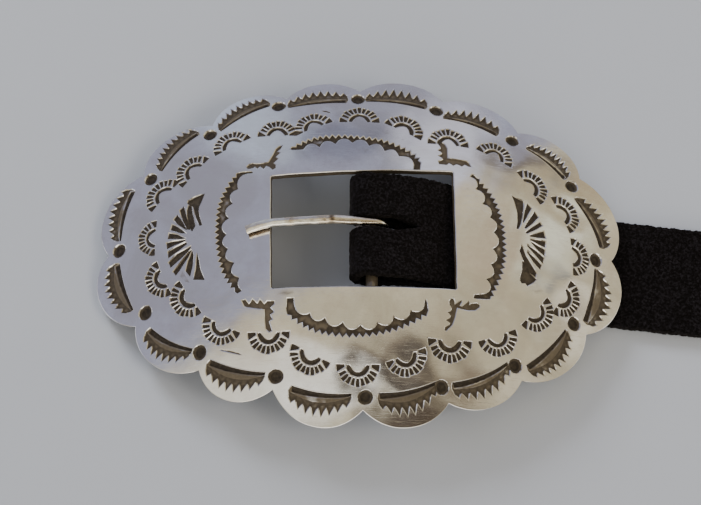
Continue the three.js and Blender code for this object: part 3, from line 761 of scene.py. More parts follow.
    def dents(self) -> list[Dent]:
        """Hollows round the fans and the combs, deeper along the lower right side."""
        made = []
        for fan in self.fans:
            heavy = 0.5 + 0.5 * math.tanh((fan.x - fan.y - 14.0) / 14.0)
            out = turn(fan.facing)[:, 0]
            made.append(Dent(fan.x + 2.4 * out[0], fan.y + 2.4 * out[1], 6.0, 0.05 + 0.21 * heavy))
        return made

    def surface(self, xy: Array) -> Array:
        """Height of the plain metal off the true face: hammer waves plus the dents.

        The waves are products of sines of a few wavelengths from 9 to 31 mm, turned against each other.
        """
        x, y = xy[:, 0], xy[:, 1]
        lower = smoothstep(-18.0, 40.0, x - y)
        wave = 0.030 * np.sin(0.31 * x + 0.17 * y + 0.6) * np.sin(0.23 * y - 0.12 * x + 1.1)
        wave += 0.020 * np.sin(0.52 * x - 0.36 * y + 2.1) + 0.012 * np.sin(0.66 * y + 0.25 * x)
        fine = 0.010 * np.sin(1.15 * x + 0.5 * y) * np.sin(0.95 * y - 0.4 * x + 0.7)
        total = wave * lerp(0.7, 1.5, lower) + fine * lerp(0.5, 1.3, lower)
        for dent in self.dents():
            near = np.hypot(x - dent.x, y - dent.y) < dent.radius
            total[near] += dent.height(xy[near])
        return total * (1 - smoothstep(0.90, 1.12, np.hypot(x / (self.form.ring_x + 5), y / (self.form.ring_y + 5))))

    def relief(self, xy: Array, cuts: Sequence[Cut]) -> tuple[Array, Array, Array]:
        """Height of the struck metal, how dark it is, and the distance to the nearest mark.

        Inside a mark the height falls from the burr's crest to the floor over the wall's width, and a
        little further towards the middle; outside, the burr fades over 0.12 mm.
        """
        low, high = np.zeros(len(xy)), np.zeros(len(xy))
        dark, gap = np.zeros(len(xy)), np.full(len(xy), 9.0)
        for cut in cuts:
            box_low, box_high = cut.loop.min(axis=0) - 0.7, cut.loop.max(axis=0) + 0.7
            near = np.flatnonzero(((xy > box_low) & (xy < box_high)).all(axis=1))
            sd = signed_distance(xy[near], cut.loop)
            wall = smoothstep(0.07, 0.08 - cut.wall, sd)
            floor = -cut.depth * (0.86 * wall + 0.14 * smoothstep(0.0, -0.6, sd))
            low[near] = np.minimum(low[near], floor)
            high[near] = np.maximum(high[near], cut.burr * (1 - smoothstep(0.0, 0.12, np.abs(sd - 0.08))))
            floor_dark = cut.dark * (1 - cut.fade * smoothstep(-0.24, -0.72, sd))
            dark[near] = np.maximum(dark[near], floor_dark * smoothstep(0.06, -0.04, sd))
            dark[near] *= 1 - cut.rub * (1 - smoothstep(0.0, 0.10, np.abs(sd - 0.08)))
            gap[near] = np.minimum(gap[near], sd)
        return np.where(low < -0.02, low, high), dark, gap

    def sheet(self) -> tuple[Array, Array, Array, dict[str, Array]]:
        """The whole sheet: stamped face, rolled edges, walls and back.

        Returns:
            Points, faces, shading normals, and the vertex values of the finish.
        """
        form = self.form
        cuts = self.cuts()
        outline, window = form.outline(26), form.window(24)
        edge_top, sill_top = offset_loop(outline, -0.24), offset_loop(window, 0.24)
        free = hexagonal((-57, -41), (57, 41), self.grain, 5)
        rho = np.hypot(free[:, 0] / form.ring_x, free[:, 1] / form.ring_y)
        free = free[rho < 1.3]
        keep = (signed_distance(free, edge_top) < -0.35) & (signed_distance(free, sill_top) > 0.35)
        free = free[keep]
        _, _, gap = self.relief(free, cuts)
        free = free[(gap > 0.42) | (gap < -0.42)]
        rings = [ring for cut in cuts for ring in cut.rings()]
        plan, faces = triangulate([edge_top, sill_top, *rings], free)
        middle = plan[faces].mean(axis=1)
        inside = (signed_distance(middle, edge_top) < 0) & (signed_distance(middle, sill_top) > 0)
        faces = faces[inside]
        low, dark, gap = self.relief(plan, cuts)
        plain = self.surface(plan)
        top = form.off_face(plan, plain + low)
        smooth = self.plain_normals(plan)
        shade = vertex_normals(top, faces)
        shade = np.where((gap > 0.17)[:, None], smooth, shade)

        for smudge in self.smudges:
            dark = np.maximum(dark, smudge.darkness(plan))

        points, normals = [top], [shade]
        values_dark, values_edge = [dark], [np.zeros(len(plan))]
        all_faces = [faces]
        count = len(plan)
        for loop, top_loop, sign in ((outline, edge_top, 1.0), (window, sill_top, -1.0)):
            out = unit(loop - top_loop)
            ring_before = nearest(plan, top_loop)
            profile = ((0.10, 0.015, 0.55), (0.19, 0.08, 1.0), (0.24, 0.20, 0.9), (0.24, form.gauge * 0.5, 0.35),
                       (0.24, form.gauge - 0.18, 0.3), (0.16, form.gauge - 0.03, 0.4))
            normal = form.normal(top_loop)
            base = form.off_face(top_loop, self.surface(top_loop))
            flat = np.concatenate([out, np.zeros((len(out), 1))], axis=1)
            tangent = unit(flat - normal * (flat * normal).sum(axis=1, keepdims=True))
            for across, down, bright in profile:
                ring = count + np.arange(len(loop))
                points.append(base + tangent * across - normal * down)
                lean = min(across / 0.24, 1.0) if down < 1.0 else 1.0
                rise = max(0.0, 1.0 - down / 0.2) if down < 1.0 else -max(0.0, (down - 1.3) / 0.17)
                normals.append(unit(tangent * lean + normal * rise))
                # The sheet's cut walls are darkened, the outer edge's a little and the window's much more: part oxide,
                # part painted shade in the opening.
                values_dark.append(np.full(len(loop), 0.0 if down < 0.15 else 0.3 if sign > 0 else 0.75))
                values_edge.append(np.full(len(loop), bright))
                pair = (ring_before, ring) if sign > 0 else (ring, ring_before)
                all_faces.append(ring_strip(*pair)[:, ::-1])
                ring_before = ring
                count += len(loop)
            if sign > 0:
                outer_back = ring_before
                outer_points = points[-1]
            else:
                inner_back = ring_before
                inner_points = points[-1]
        back_free = free[::3]
        back_plan, back_faces = triangulate([outer_points[:, :2], inner_points[:, :2]], back_free)
        middle = back_plan[back_faces].mean(axis=1)
        inside = (signed_distance(middle, outer_points[:, :2]) < 0) & (signed_distance(middle, inner_points[:, :2]) > 0)
        back_faces = back_faces[inside]
        back = form.off_face(back_plan, -form.gauge + 0.25 * self.surface(back_plan))
        back_normal = -form.normal(back_plan)
        joined = np.arange(len(back_plan)) + count
        joined[nearest(back_plan, outer_points[:, :2])] = outer_back
        joined[nearest(back_plan, inner_points[:, :2])] = inner_back
        points.append(back)
        normals.append(back_normal)
        values_dark.append(np.full(len(back_plan), 0.35))
        values_edge.append(np.zeros(len(back_plan)))
        all_faces.append(joined[back_faces][:, ::-1])
        return (np.vstack(points), np.vstack(all_faces), np.vstack(normals),
                {"dark": np.concatenate(values_dark), "edge": np.concatenate(values_edge)})

    def plain_normals(self, plan: Array) -> Array:
        """Unit normals of the face with its waves and dents, by central differences of both heights."""
        step = 0.05
        slopes = []
        for axis in (np.array([step, 0.0]), np.array([0.0, step])):
            ahead = self.form.height(plan + axis) + self.surface(plan + axis)
            behind = self.form.height(plan - axis) + self.surface(plan - axis)
            slopes.append((ahead - behind) / (2 * step))
        return unit(np.stack([-slopes[0], -slopes[1], np.ones(len(plan))], axis=1))

    def bar_height(self) -> float:
        """Middle of the bar: the sheet's underside at the window's upper edge, plus the bite, less its
        radius."""
        y = self.window_side(1)
        place = np.array([self.bar_x, y])
        under = self.form.height(place) - self.form.gauge / self.form.normal(place)[2]
        return float(under + self.bar_bite - self.bar_radius)

    def window_side(self, side: int) -> float:
        """Where the window's long edge crosses the bar."""
        c = self.form.window_corners
        right, left = (c[0], c[1]) if side > 0 else (c[3], c[2])
        u = (self.bar_x / self.form.window_length - left[0]) / (right[0] - left[0])
        return lerp(left[1], right[1], u) * self.form.window_width

    def bar(self) -> tuple[Array, Array]:
        """The bar as a tube of circles along Y, its ends rounded off and its radius a little uneven."""
        start, end = self.window_side(-1) - self.bar_overlap, self.window_side(1) + self.bar_overlap
        t = np.linspace(0, 1, 60)
        y = lerp(start, end, t)
        ends = np.sqrt(np.clip(1 - np.clip(np.abs(2 * t - 1) - 0.93, 0, 1) ** 2 / 0.07 ** 2, 0.0004, 1))
        angle = np.linspace(0, 2 * math.pi, 28, endpoint=False)
        radius = self.bar_radius * ends[:, None] * (1 - 0.012 * (1 + np.sin(3 * angle[None, :] + 0.4 * y[:, None])))
        points = np.stack([self.bar_x + radius * np.cos(angle), np.broadcast_to(y[:, None], radius.shape),
                           self.bar_height() + radius * np.sin(angle)], axis=-1)
        return tube(points)

    def build(self) -> bpy.types.Object:
        """One mesh for the sheet and the bar."""
        points, faces, normals, values = self.sheet()
        bar_points, bar_faces = self.bar()
        bar_normals = vertex_normals(bar_points, bar_faces)
        count = len(points)
        # The bar gets 0.52 for both values: its darkness is part oxide, part painted shade where it lies under the
        # strap; the edge value makes it less rough.
        values = {key: np.concatenate([value, np.full(len(bar_points), 0.52)]) for key, value in values.items()}
        piece = make_piece("plate_stamped_silver", np.vstack([points, bar_points]),
                           np.vstack([faces, bar_faces + count]), np.vstack([normals, bar_normals]), values)
        piece.data.materials.append(StampedSilver().material())
        return piece


def tube(points: Array) -> tuple[Array, Array]:
    """A closed tube from a grid of rings, (stations, around, 3), with a fan of triangles at each end.

    Returns:
        Points and triangles that face outwards where the rings turn clockwise seen along the path.
    """
    stations, around = points.shape[:2]
    grid = np.arange(stations * around).reshape(stations, around)
    faces = [ring_strip(grid[i], grid[i + 1]) for i in range(stations - 1)]
    middle = stations * around
    first, last = grid[0], grid[-1]
    faces.append(np.stack([np.roll(first, -1), first, np.full(around, middle)], axis=1))
    faces.append(np.stack([last, np.roll(last, -1), np.full(around, middle + 1)], axis=1))
    flat = np.vstack([points.reshape(-1, 3), points[0].mean(axis=0), points[-1].mean(axis=0)])
    made = np.vstack(faces)
    a, b, c = (flat[made[:, k]] for k in range(3))
    volume = (a * np.cross(b, c)).sum()
    return flat, made if volume > 0 else made[:, ::-1]


# The tongue.


@dataclass
class Tongue:
    """The swinging tongue: an open eye round the bar, a bowed hammered arm, and a square-cut tip."""

    plate: BucklePlate
    wire: float = 2.2
    clearance: float = 0.3
    crossing: float = 2.4
    eye_end: float = 195.0
    arch: float = 1.1
    drift: float = 2.2
    tip_over: float = 4.9
    arm_bow: tuple[tuple[float, float, float], ...] = (
        (0.12, 0.25, 0.01), (0.25, 0.72, 0.04), (0.4, 1.0, 0.09), (0.6, 0.72, 0.19), (0.81, 0.42, 0.32),
        (1.0, 0.0, 0.45))
    arm_over: tuple[tuple[float, float], ...] = ((0.53, 0.68), (1.0, 1.0))

    def path(self) -> Array:
        """The wire's middle line: an arc round the bar, then points above the window and the edge."""
        form, bar_x, bar_z = self.plate.form, self.plate.bar_x, self.plate.bar_height()
        eye = self.plate.bar_radius + self.clearance + self.wire / 2
        angle = np.radians(np.linspace(self.eye_end - 360, 90, 27))
        circle = np.stack([bar_x + eye * np.cos(angle), np.full(27, self.crossing), bar_z + eye * np.sin(angle)], axis=1)
        edge_x = -form.window_length / 2

        def rest(x: float, y: float) -> float:
            """Height of the wire's middle where it lies on the face."""
            return float(form.height(np.array([x, y]))) + self.clearance + self.wire / 2

        edge = rest(edge_x, self.crossing)
        arm = [(lerp(bar_x, edge_x, way), self.crossing - drift * self.drift,
                lerp(bar_z + eye, edge, way) + bow * self.arch) for way, bow, drift in self.arm_bow]
        for way, drift in self.arm_over:
            x, y = edge_x - way * self.tip_over, self.crossing - drift * self.drift
            arm.append((x, y, rest(x, y)))
        return np.vstack([circle, np.array(arm)])

    def build(self) -> bpy.types.Object:
        """The wire swept along its path.

        The section is round in the eye. Along the arm it is hammered to eight faces: one over the 14th
        root of the sum of |cosine of the angle from each pair of faces| to the 14th.
        """
        knots = self.path()
        eye_share = 26
        u = np.concatenate([np.linspace(0, eye_share, 70, endpoint=False),
                            np.linspace(eye_share, len(knots) - 1, 190)])
        line = catmull(knots, u)
        along = unit(np.gradient(line, axis=0))
        up = unit(np.stack([-along[:, 2], np.zeros(len(along)), along[:, 0]], axis=1))
        side = unit(np.cross(along, up))
        arm = smoothstep(eye_share - 1.0, eye_share + 2.5, u)
        angle = np.linspace(0, 2 * math.pi, 40, endpoint=False)
        c, s = np.cos(angle)[None, :], np.sin(angle)[None, :]
        faces_at = np.radians([22.5, 67.5, 112.5, 157.5])
        eight = (np.abs(np.cos(angle[:, None] - faces_at)) ** 14).sum(axis=1) ** (-1 / 14)
        radius = lerp(1.0, eight[None, :], arm[:, None])
        length = np.concatenate([[0.0], np.cumsum(np.linalg.norm(np.diff(line, axis=0), axis=1))])
        blows = 0.035 * np.sin(length * 1.9 + 0.4) * np.sin(length * 0.71) * arm
        knob = np.exp(-((line[:, 0] + 6.4) / 0.75) ** 2)
        nick = np.exp(-((line[:, 0] + 7.5) / 0.35) ** 2)
        thin = lerp(1.0, 0.66, smoothstep(-17.5, -23.5, line[:, 0]))
        neck = 1 - 0.22 * smoothstep(-3.0, 3.5, line[:, 0]) * smoothstep(8.0, 5.0, line[:, 0])
        half_v = (self.wire / 2) * (lerp(0.80, 0.86, arm) * neck + 0.04 * knob - blows)
        half_w = (self.wire / 2) * (lerp(0.80, 0.82, arm) * thin + 0.09 * knob - 0.08 * nick + blows)
        v = (radius * c) * half_v[:, None]
        w = (radius * s) * half_w[:, None]
        facet = 0.02 * np.sin(2 * angle[None, :] + length[:, None] * 0.9) * arm[:, None]
        points = line[:, None, :] + side[:, None, :] * (v * (1 + facet))[..., None] + up[:, None, :] * (w * (1 - facet))[..., None]
        ends = [points[0].mean(axis=0) + (points[0] - points[0].mean(axis=0)) * k for k in (0.80, 0.94)]
        tip = points[-1].mean(axis=0)
        caps = [tip + (points[-1] - tip) * k + along[-1] * d for k, d in ((0.95, 0.05), (0.82, 0.07))]
        grid = np.concatenate([ends, points, caps])
        flat, faces = tube(grid)
        # Painted shade: the arm's underside is mixed towards brown; the top of the knob is browned too.
        brown_and_painted_shade = 0.75 * knob[:, None] * smoothstep(-0.2, -0.9, s) + 0.8 * smoothstep(0.1, 0.75, s) * arm[:, None]
        brown_and_painted_shade = np.vstack([brown_and_painted_shade[:1], brown_and_painted_shade[:1], brown_and_painted_shade, brown_and_painted_shade[-1:], brown_and_painted_shade[-1:]])
        brown_and_painted_shade = np.concatenate([brown_and_painted_shade.ravel(), brown_and_painted_shade[0, :1], brown_and_painted_shade[-1, :1]])
        piece = make_piece("tongue_hammered_silver", flat, faces, None, {"dark": brown_and_painted_shade})
        piece.data.materials.append(TongueSilver().material())
        return piece


# The strap.


@dataclass
class SuedeStrap:
    """One suede strip: turned-under layer, fold round the bar, and the upper layer out to its end."""

    plate: BucklePlate
    tongue: Tongue
    thickness: float = 2.4
    width: float = 24.3
    window_room: float = 1.55
    fold_slack: float = 0.8
    tail_reach: float = 33.0
    free_end: float = 79.0
    layer_gap: float = 0.4
    slot_room: float = 0.15
    slot_upper: float = 9.3
    slot_lower_room: float = 1.45
    table_slope: float = 0.025434
    table_left: tuple[float, float] = (-54.496, -10.228)
    fold_place: float = 0.082
    in_window: tuple[tuple[float, float, float], ...] = ((0.38, 0.18, 0.078), (0.72, 0.54, 0.067))
    under_plate: tuple[tuple[float, float, float], ...] = (
        (0.38, 0.05, 0.052), (0.6, 0.5, 0.025), (0.78, 0.75, 0.0), (0.94, 0.65, -0.025))
    on_table: tuple[tuple[float, float], ...] = ((0.0, -0.053), (0.42, -0.092), (0.73, -0.118), (1.0, -0.140))

    def table_height(self, x: Array) -> Array:
        """The table's height in the plate's frame."""
        return -self.table_slope * np.asarray(x) - LAID.shift[2] / math.cos(math.radians(LAID.lean_deg))

    def middle_line(self) -> tuple[Array, Array]:
        """The strip's middle line from the turned-under end to the free end, and the fold's first length.

        The upper layer is a smooth curve through the fold's top, points in the window and under the
        sheet, and points on the table; the turned-under layer is that curve moved down by the two
        layers' pitch; the fold is half a circle.
        """
        form, plate = self.plate.form, self.plate
        half = self.thickness / 2
        fold_x = plate.bar_x - self.fold_slack
        fold_radius = plate.bar_radius + self.tongue.clearance + half
        bar_z = plate.bar_height()
        fold_width = form.window_width - 2 * self.window_room
        edge = fold_width / 2 + self.window_room
        window_x = form.window_length / 2

        def under(x: float) -> float:
            """Height of the layer's middle where it lies against the sheet's underside."""
            place = np.array([x, edge])
            return float(form.height(place) - form.gauge / form.normal(place)[2]) - self.tongue.clearance - half

        top, low = bar_z + fold_radius, under(window_x)
        rim = form.ring_x + form.reach * 0.8
        knots = [(fold_x, self.fold_place * self.width, top)]
        knots += [(lerp(fold_x, window_x, way), place * self.width, lerp(top, low, drop))
                  for way, drop, place in self.in_window]
        knots += [(x * form.ring_x, place * self.width, under(x * form.ring_x) - sag * self.thickness)
                  for x, sag, place in self.under_plate]
        knots += [(lerp(rim, self.free_end, way), place * self.width,
                   float(self.table_height(lerp(rim, self.free_end, way))) + half) for way, place in self.on_table]
        run = catmull(np.array(knots), np.linspace(0, len(knots) - 1, 400))
        run[:, 2] = np.maximum(run[:, 2], self.table_height(run[:, 0]) + half)
        pitch = self.thickness + self.layer_gap
        x = np.linspace(plate.bar_x + self.tail_reach, fold_x + 0.2, 120)
        slope = np.gradient(run[:, 2], run[:, 0])
        along = unit(np.stack([np.ones(120), np.interp(x, run[:, 0], slope)], axis=1))
        settle = smoothstep(plate.bar_x, window_x, x)
        z = np.interp(x, run[:, 0], run[:, 2])
        away = 2 * fold_radius - (top - z)
        tail = np.stack([x + along[:, 1] * pitch * settle, np.interp(x, run[:, 0], run[:, 1]),
                         z - lerp(away, pitch * along[:, 0], settle)], axis=1)
        angle = np.radians(np.linspace(-90, -270, 40))
        fold = np.stack([fold_x + fold_radius * np.cos(angle), np.full(40, knots[0][1]),
                         bar_z + fold_radius * np.sin(angle)], axis=1)
        line = np.vstack([tail, fold, run[1:]])
        length = np.concatenate([[0.0], np.cumsum(np.linalg.norm(np.diff(line, axis=0), axis=1))])
        return line, length

    def build(self) -> bpy.types.Object:
        """The strip cut flat with its slot, then carried along the middle line.

        A place (s, t) of the flat strip goes to the middle line at length s, plus t sideways, plus half
        the thickness out; the edge is rounded, and the nap lifts every point by a small rough noise.
        """
        line, length = self.middle_line()
        form = self.plate.form
        fold_width = form.window_width - 2 * self.window_room
        total = float(length[-1])
        even = np.linspace(0, total, 600)
        path = np.stack([np.interp(even, length, line[:, k]) for k in range(3)], axis=1)
        kernel = np.ones(5) / 5
        path[2:-2] = np.stack([np.convolve(path[:, k], kernel, mode="valid") for k in range(3)], axis=1)
        along = unit(np.gradient(path, axis=0))
        sign = np.sign(along[:, 0])
        side = np.stack([-along[:, 1] * sign, np.abs(along[:, 0]) + 1e-6, np.zeros(600)], axis=1)
        side[:, 2] = -side[:, 0] * self.table_slope
        side = unit(side)
        out = unit(np.cross(along, side))
        spread = smoothstep(form.window_length / 2, form.ring_x, path[:, 0])
        half_width = lerp(fold_width, self.width, spread) / 2

        edge_s = np.linspace(0, total, 420)
        rough = self.frayed(edge_s)
        half_at = np.interp(edge_s, even, half_width)
        end = np.linspace(-1, 1, 40)[1:-1]
        right = np.stack([edge_s, -half_at + rough[0]], axis=1)
        left = np.stack([edge_s, half_at - rough[1]], axis=1)
        tip = np.stack([np.full(38, total - 0.1), end * half_at[-1]], axis=1)
        tail = np.stack([np.full(38, 0.1), -end * half_at[0]], axis=1)
        outline = np.vstack([right, tip, left[::-1], tail])
        slot = self.slot(line, length)
        free = hexagonal((0.3, -13), (total - 0.3, 13), 0.55, 9)
        bound = np.interp(free[:, 0], even, half_width) - 0.5
        free = free[np.abs(free[:, 1]) < bound]
        free = free[signed_distance(free, slot) > 0.4]
        lip, slot_lip = offset_loop(outline, -0.35), offset_loop(slot, 0.3)
        plan, faces = triangulate([lip, slot_lip], free[signed_distance(free, lip) < -0.25])
        middle = plan[faces].mean(axis=1)
        faces = faces[(signed_distance(middle, lip) < 0) & (signed_distance(middle, slot_lip) > 0)]

        def carried(flat: Array, height: Array) -> Array:
            """Places of the flat strip at a height off its middle, carried along the line."""
            at = [np.stack([np.interp(flat[:, 0], even, a[:, k]) for k in range(3)], axis=1) for a in (path, side, out)]
            return at[0] + at[1] * flat[:, 1:2] + at[2] * np.asarray(height)[:, None]

        half = self.thickness / 2
        nap = self.nap(plan)
        upper = carried(plan, half - 0.10 + nap)
        lower = carried(plan, -half + 0.05 - 0.3 * nap)
        points, all_faces = [upper, lower], [faces, faces[:, ::-1] + len(plan)]
        count = 2 * len(plan)
        for loop, top_loop, sign in ((outline, lip, 1), (slot, slot_lip, -1)):
            before = nearest(plan, top_loop)
            last = before + len(plan)
            for share, height in ((0.72, 0.80), (1.0, 0.45), (1.0, -0.1), (0.96, -0.6), (0.6, -0.92)):
                ring = count + np.arange(len(loop))
                flat = lerp(top_loop, loop, share)
                frizz = 0.10 * np.sin(flat[:, 0] * 7.1 + height * 5) * np.sin(flat[:, 0] * 3.3 + flat[:, 1] * 4.7)
                points.append(carried(flat + frizz[:, None] * unit(loop - top_loop) * 0.6, np.full(len(loop), half * height)))
                all_faces.append(ring_strip(before, ring)[:, ::-1] if sign > 0 else ring_strip(ring, before)[:, ::-1])
                before = ring
                count += len(loop)
            all_faces.append(ring_strip(before, last)[:, ::-1] if sign > 0 else ring_strip(last, before)[:, ::-1])
        piece = make_piece("strap_black_suede", np.vstack(points), np.vstack(all_faces))
        piece.data.materials.append(BlackSuede().material())
        return piece

    def slot(self, line: Array, length: Array) -> Array:
        """The tongue's slot in the flat strip: a slit that its wire opens, drawn out to a point at the top."""
        bar_x = self.plate.bar_x
        eye_outer = self.plate.bar_radius + self.tongue.clearance + self.tongue.wire
        turned = int(line[:, 0].argmin())
        under = np.interp(bar_x + eye_outer + self.slot_lower_room, line[:turned, 0][::-1], length[:turned][::-1])
        over = np.interp(bar_x + self.slot_upper, line[turned:, 0], length[turned:])
        radius = self.tongue.wire / 2 + self.slot_room
        centre = self.tongue.crossing - self.fold_place * self.width
        s = np.linspace(under, over, 60)
        taper = np.minimum(1.0, (s - under) / 0.9) ** 0.5 * np.clip((over - s) / 5.2, 0.0, 1.0) ** 0.6
        swell = 1 + 0.36 * np.exp(-((s - over + 4.2) / 2.4) ** 2)
        half = radius * taper * swell + 0.04 * np.sin(s * 5.3) * taper
        low = np.stack([s, centre - half - 0.25 * smoothstep(over - 8, over, s)], axis=1)
        high = np.stack([s, centre + half - 0.25 * smoothstep(over - 8, over, s)], axis=1)[1:-1][::-1]
        return np.vstack([low, high])

    def frayed(self, s: Array) -> tuple[Array, Array]:
        """How far each long edge is cut in: sums of sines of unlike wavelengths plus seeded noise."""
        rng = np.random.default_rng(4)
        one = 0.10 + 0.06 * np.sin(s * 2.9) + 0.05 * np.sin(s * 5.1 + 1.0) + 0.04 * np.sin(s * 0.9)
        two = 0.10 + 0.06 * np.sin(s * 2.3 + 0.5) + 0.05 * np.sin(s * 4.7) + 0.04 * np.sin(s * 1.1 + 2.0)
        return one + rng.uniform(0.0, 0.16, len(s)), two + rng.uniform(0.0, 0.16, len(s))

    def nap(self, flat: Array) -> Array:
        """Height of the nap: seeded noise on each vertex over slow rubbed waves."""
        rng = np.random.default_rng(21)
        slow = 0.03 * np.sin(flat[:, 0] * 0.8 + 0.5 * flat[:, 1]) * np.sin(flat[:, 1] * 0.9)
        return rng.uniform(-0.06, 0.06, len(flat)) + slow


# Finishes.


class Shade:
    """A socket's value in an expression: each operator adds a Math node."""

    def __init__(self, tree: "Finish", socket: Any) -> None:
        """Keeps the node tree's helper and the socket."""
        self.tree, self.socket = tree, socket

    def _math(self, operation: str, first: Any, second: Any) -> "Shade":
        """One Math node."""
        return self.tree.node("ShaderNodeMath", {"operation": operation}, {0: first, 1: second})

    def __add__(self, other: Any) -> "Shade":
        """Sum."""
        return self._math("ADD", self, other)

    __radd__ = __add__

    def __sub__(self, other: Any) -> "Shade":
        """Difference."""
        return self._math("SUBTRACT", self, other)

    def __rsub__(self, other: Any) -> "Shade":
        """Difference, other first."""
        return self._math("SUBTRACT", other, self)

    def __mul__(self, other: Any) -> "Shade":
        """Product."""
        return self._math("MULTIPLY", self, other)

    __rmul__ = __mul__

    def __pow__(self, other: Any) -> "Shade":
        """Power."""
        return self._math("POWER", self, other)

    def eased(self, low: float, high: float) -> "Shade":
        """Smooth step from 0 at low to 1 at high."""
        return self.tree.node("ShaderNodeMapRange", {"interpolation_type": "SMOOTHSTEP"},
                              {"Value": self, "From Min": low, "From Max": high})


class Tree:
    """A node tree with one method that adds any node."""

    def __init__(self, owner: Any) -> None:
        """Empties the owner's node tree."""
        owner.use_nodes = True
        self.result = owner
        self.nodes, self.links = owner.node_tree.nodes, owner.node_tree.links
        self.nodes.clear()

    def node(self, kind: str, settings: dict[str, Any], values: dict[Any, Any], output: Any = 0) -> Shade:
        """Adds a node.

        Args:
            kind: the node's type.
            settings: its properties, set first; "stops" are a ramp's (place, colour) pairs.
            values: socket name or number to a constant, or to a Shade to link.
            output: name or number of the output that is handed back.

        Returns:
            The output as a Shade.
        """
        made = self.nodes.new(kind)
        for key, value in settings.items():
            if key == "stops":
                ramp = made.color_ramp
                while len(ramp.elements) < len(value):
                    ramp.elements.new(1.0)
                for element, (place, colour) in zip(ramp.elements, value):
                    element.position, element.color = place, (*colour, 1.0)
            else:
                setattr(made, key, value)
        for key, value in values.items():
            if isinstance(value, Shade):
                self.links.new(value.socket, made.inputs[key])
            else:
                made.inputs[key].default_value = value
        return Shade(self, made.outputs[output] if output is not None else None)

    def noise(self, scale: float, detail: float = 3.0, roughness: float = 0.55, distortion: float = 0.0,
              place: Shade | None = None) -> Shade:
        """Noise at a place; scale in waves per unit of it."""
        return self.node("ShaderNodeTexNoise", {}, {
            "Vector": place or self.place(), "Scale": scale, "Detail": detail, "Roughness": roughness,
            "Distortion": distortion})

    def place(self) -> Shade:
        """Where the noise is read, if nothing else is said."""
        raise NotImplementedError

    def mix(self, factor: Any, first: Any, second: Any) -> Shade:
        """Mix of two colours."""
        rgba = [(*c, 1.0) if isinstance(c, tuple) and len(c) == 3 else c for c in (first, second)]
        return self.node("ShaderNodeMix", {"data_type": "RGBA"}, {0: factor, 6: rgba[0], 7: rgba[1]}, 2)


class Finish(Tree):
    """A material's node tree."""

    def __init__(self, name: str) -> None:
        """Makes an empty node material of that name."""
        super().__init__(bpy.data.materials.new(name))

    def place(self, scale: Sequence[float] = (1.0, 1.0, 1.0), rotation: Sequence[float] = (0.0, 0.0, 0.0)) -> Shade:
        """Object coordinates, scaled and turned."""
        coords = self.node("ShaderNodeTexCoord", {}, {}, "Object")
        return self.node("ShaderNodeMapping", {}, {"Vector": coords, "Scale": scale, "Rotation": rotation})

    def value(self, name: str) -> Shade:
        """A number kept on the mesh's vertices."""
        return self.node("ShaderNodeAttribute", {"attribute_name": name}, {}, "Fac")

    def bump(self, height: Shade, strength: float, distance: float, normal: Shade | None = None) -> Shade:
        """Bump from a height."""
        values: dict[str, Any] = {"Height": height, "Strength": strength, "Distance": distance}
        if normal is not None:
            values["Normal"] = normal
        return self.node("ShaderNodeBump", {}, values)

    def shader(self, values: dict[str, Any]) -> Shade:
        """A Principled shader of these values."""
        return self.node("ShaderNodeBsdfPrincipled", {}, values)

    def surface(self, shader: Shade) -> bpy.types.Material:
        """Ends the material with a shader."""
        self.node("ShaderNodeOutputMaterial", {}, {"Surface": shader}, None)
        return self.result


@dataclass(frozen=True)
class StampedSilver:
    """Hand-polished silver, blackened in the stamps and brighter along its filed edges."""

    polished: tuple[float, float, float] = (0.83, 0.815, 0.79)
    toned: tuple[float, float, float] = (0.70, 0.665, 0.61)
    rosy: tuple[float, float, float] = (0.69, 0.625, 0.60)
    oxide: tuple[float, float, float] = (0.026, 0.020, 0.015)
    oxide_worn: tuple[float, float, float] = (0.135, 0.108, 0.074)

    def material(self) -> bpy.types.Material:
        """Silver tone by slow noise, oxide by the stamps' depth, oxide with painted shade on the sheet's cut walls and
        on the bar, fine polishing scratches as bump.
        """
        f = Finish("stamped silver")
        dark, edge = f.value("dark"), f.value("edge")
        cloud = f.noise(46.0, 4.0, 0.6, 0.8)
        speck = f.noise(900.0, 3.0, 0.7)
        wear = f.noise(1500.0, 3.0, 0.6)
        silver = f.mix(cloud.eased(0.40, 0.68), self.polished, self.toned)
        silver = f.mix(f.noise(210.0, 4.0, 0.7).eased(0.40, 0.74) * 0.5 + speck.eased(0.45, 0.8) * 0.22,
                       silver, self.rosy)
        long_a = f.noise(1.0, 2.0, 0.5, 0.0, f.place((260.0, 9000.0, 260.0), (0.0, 0.0, 0.5)))
        long_b = f.noise(1.0, 2.0, 0.5, 0.0, f.place((300.0, 7600.0, 300.0), (0.0, 0.0, -0.9)))
        scratches = long_a.eased(0.60, 0.72) + long_b.eased(0.62, 0.74)
        rough = 0.10 + cloud * 0.07 + speck * 0.04 + scratches * 0.04 - edge * 0.03
        normal = f.bump(scratches, 0.10, 0.00003)
        normal = f.bump(speck, 0.10, 0.00004, normal)
        bright = f.shader({"Base Color": silver, "Metallic": 1.0, "Roughness": rough, "Normal": normal})
        thin = 1.0 - dark.eased(0.62, 1.0)
        # The dark colour: oxide in the stamps, and oxide with painted shade on the cut walls and the bar.
        oxide_and_shade_colour = f.mix(thin * 0.85 + wear.eased(0.40, 0.70) * 0.22, self.oxide, self.oxide_worn)
        worn = f.noise(170.0, 3.0, 0.6).eased(0.46, 0.70)
        black = f.shader({"Base Color": oxide_and_shade_colour, "Metallic": 0.45, "Roughness": 0.42 + wear * 0.2, "Normal": normal,
                          "Specular IOR Level": 0.3})
        return f.surface(f.node("ShaderNodeMixShader", {}, {
            0: (dark - worn * 0.30).eased(0.10, 0.62), 1: bright, 2: black}))


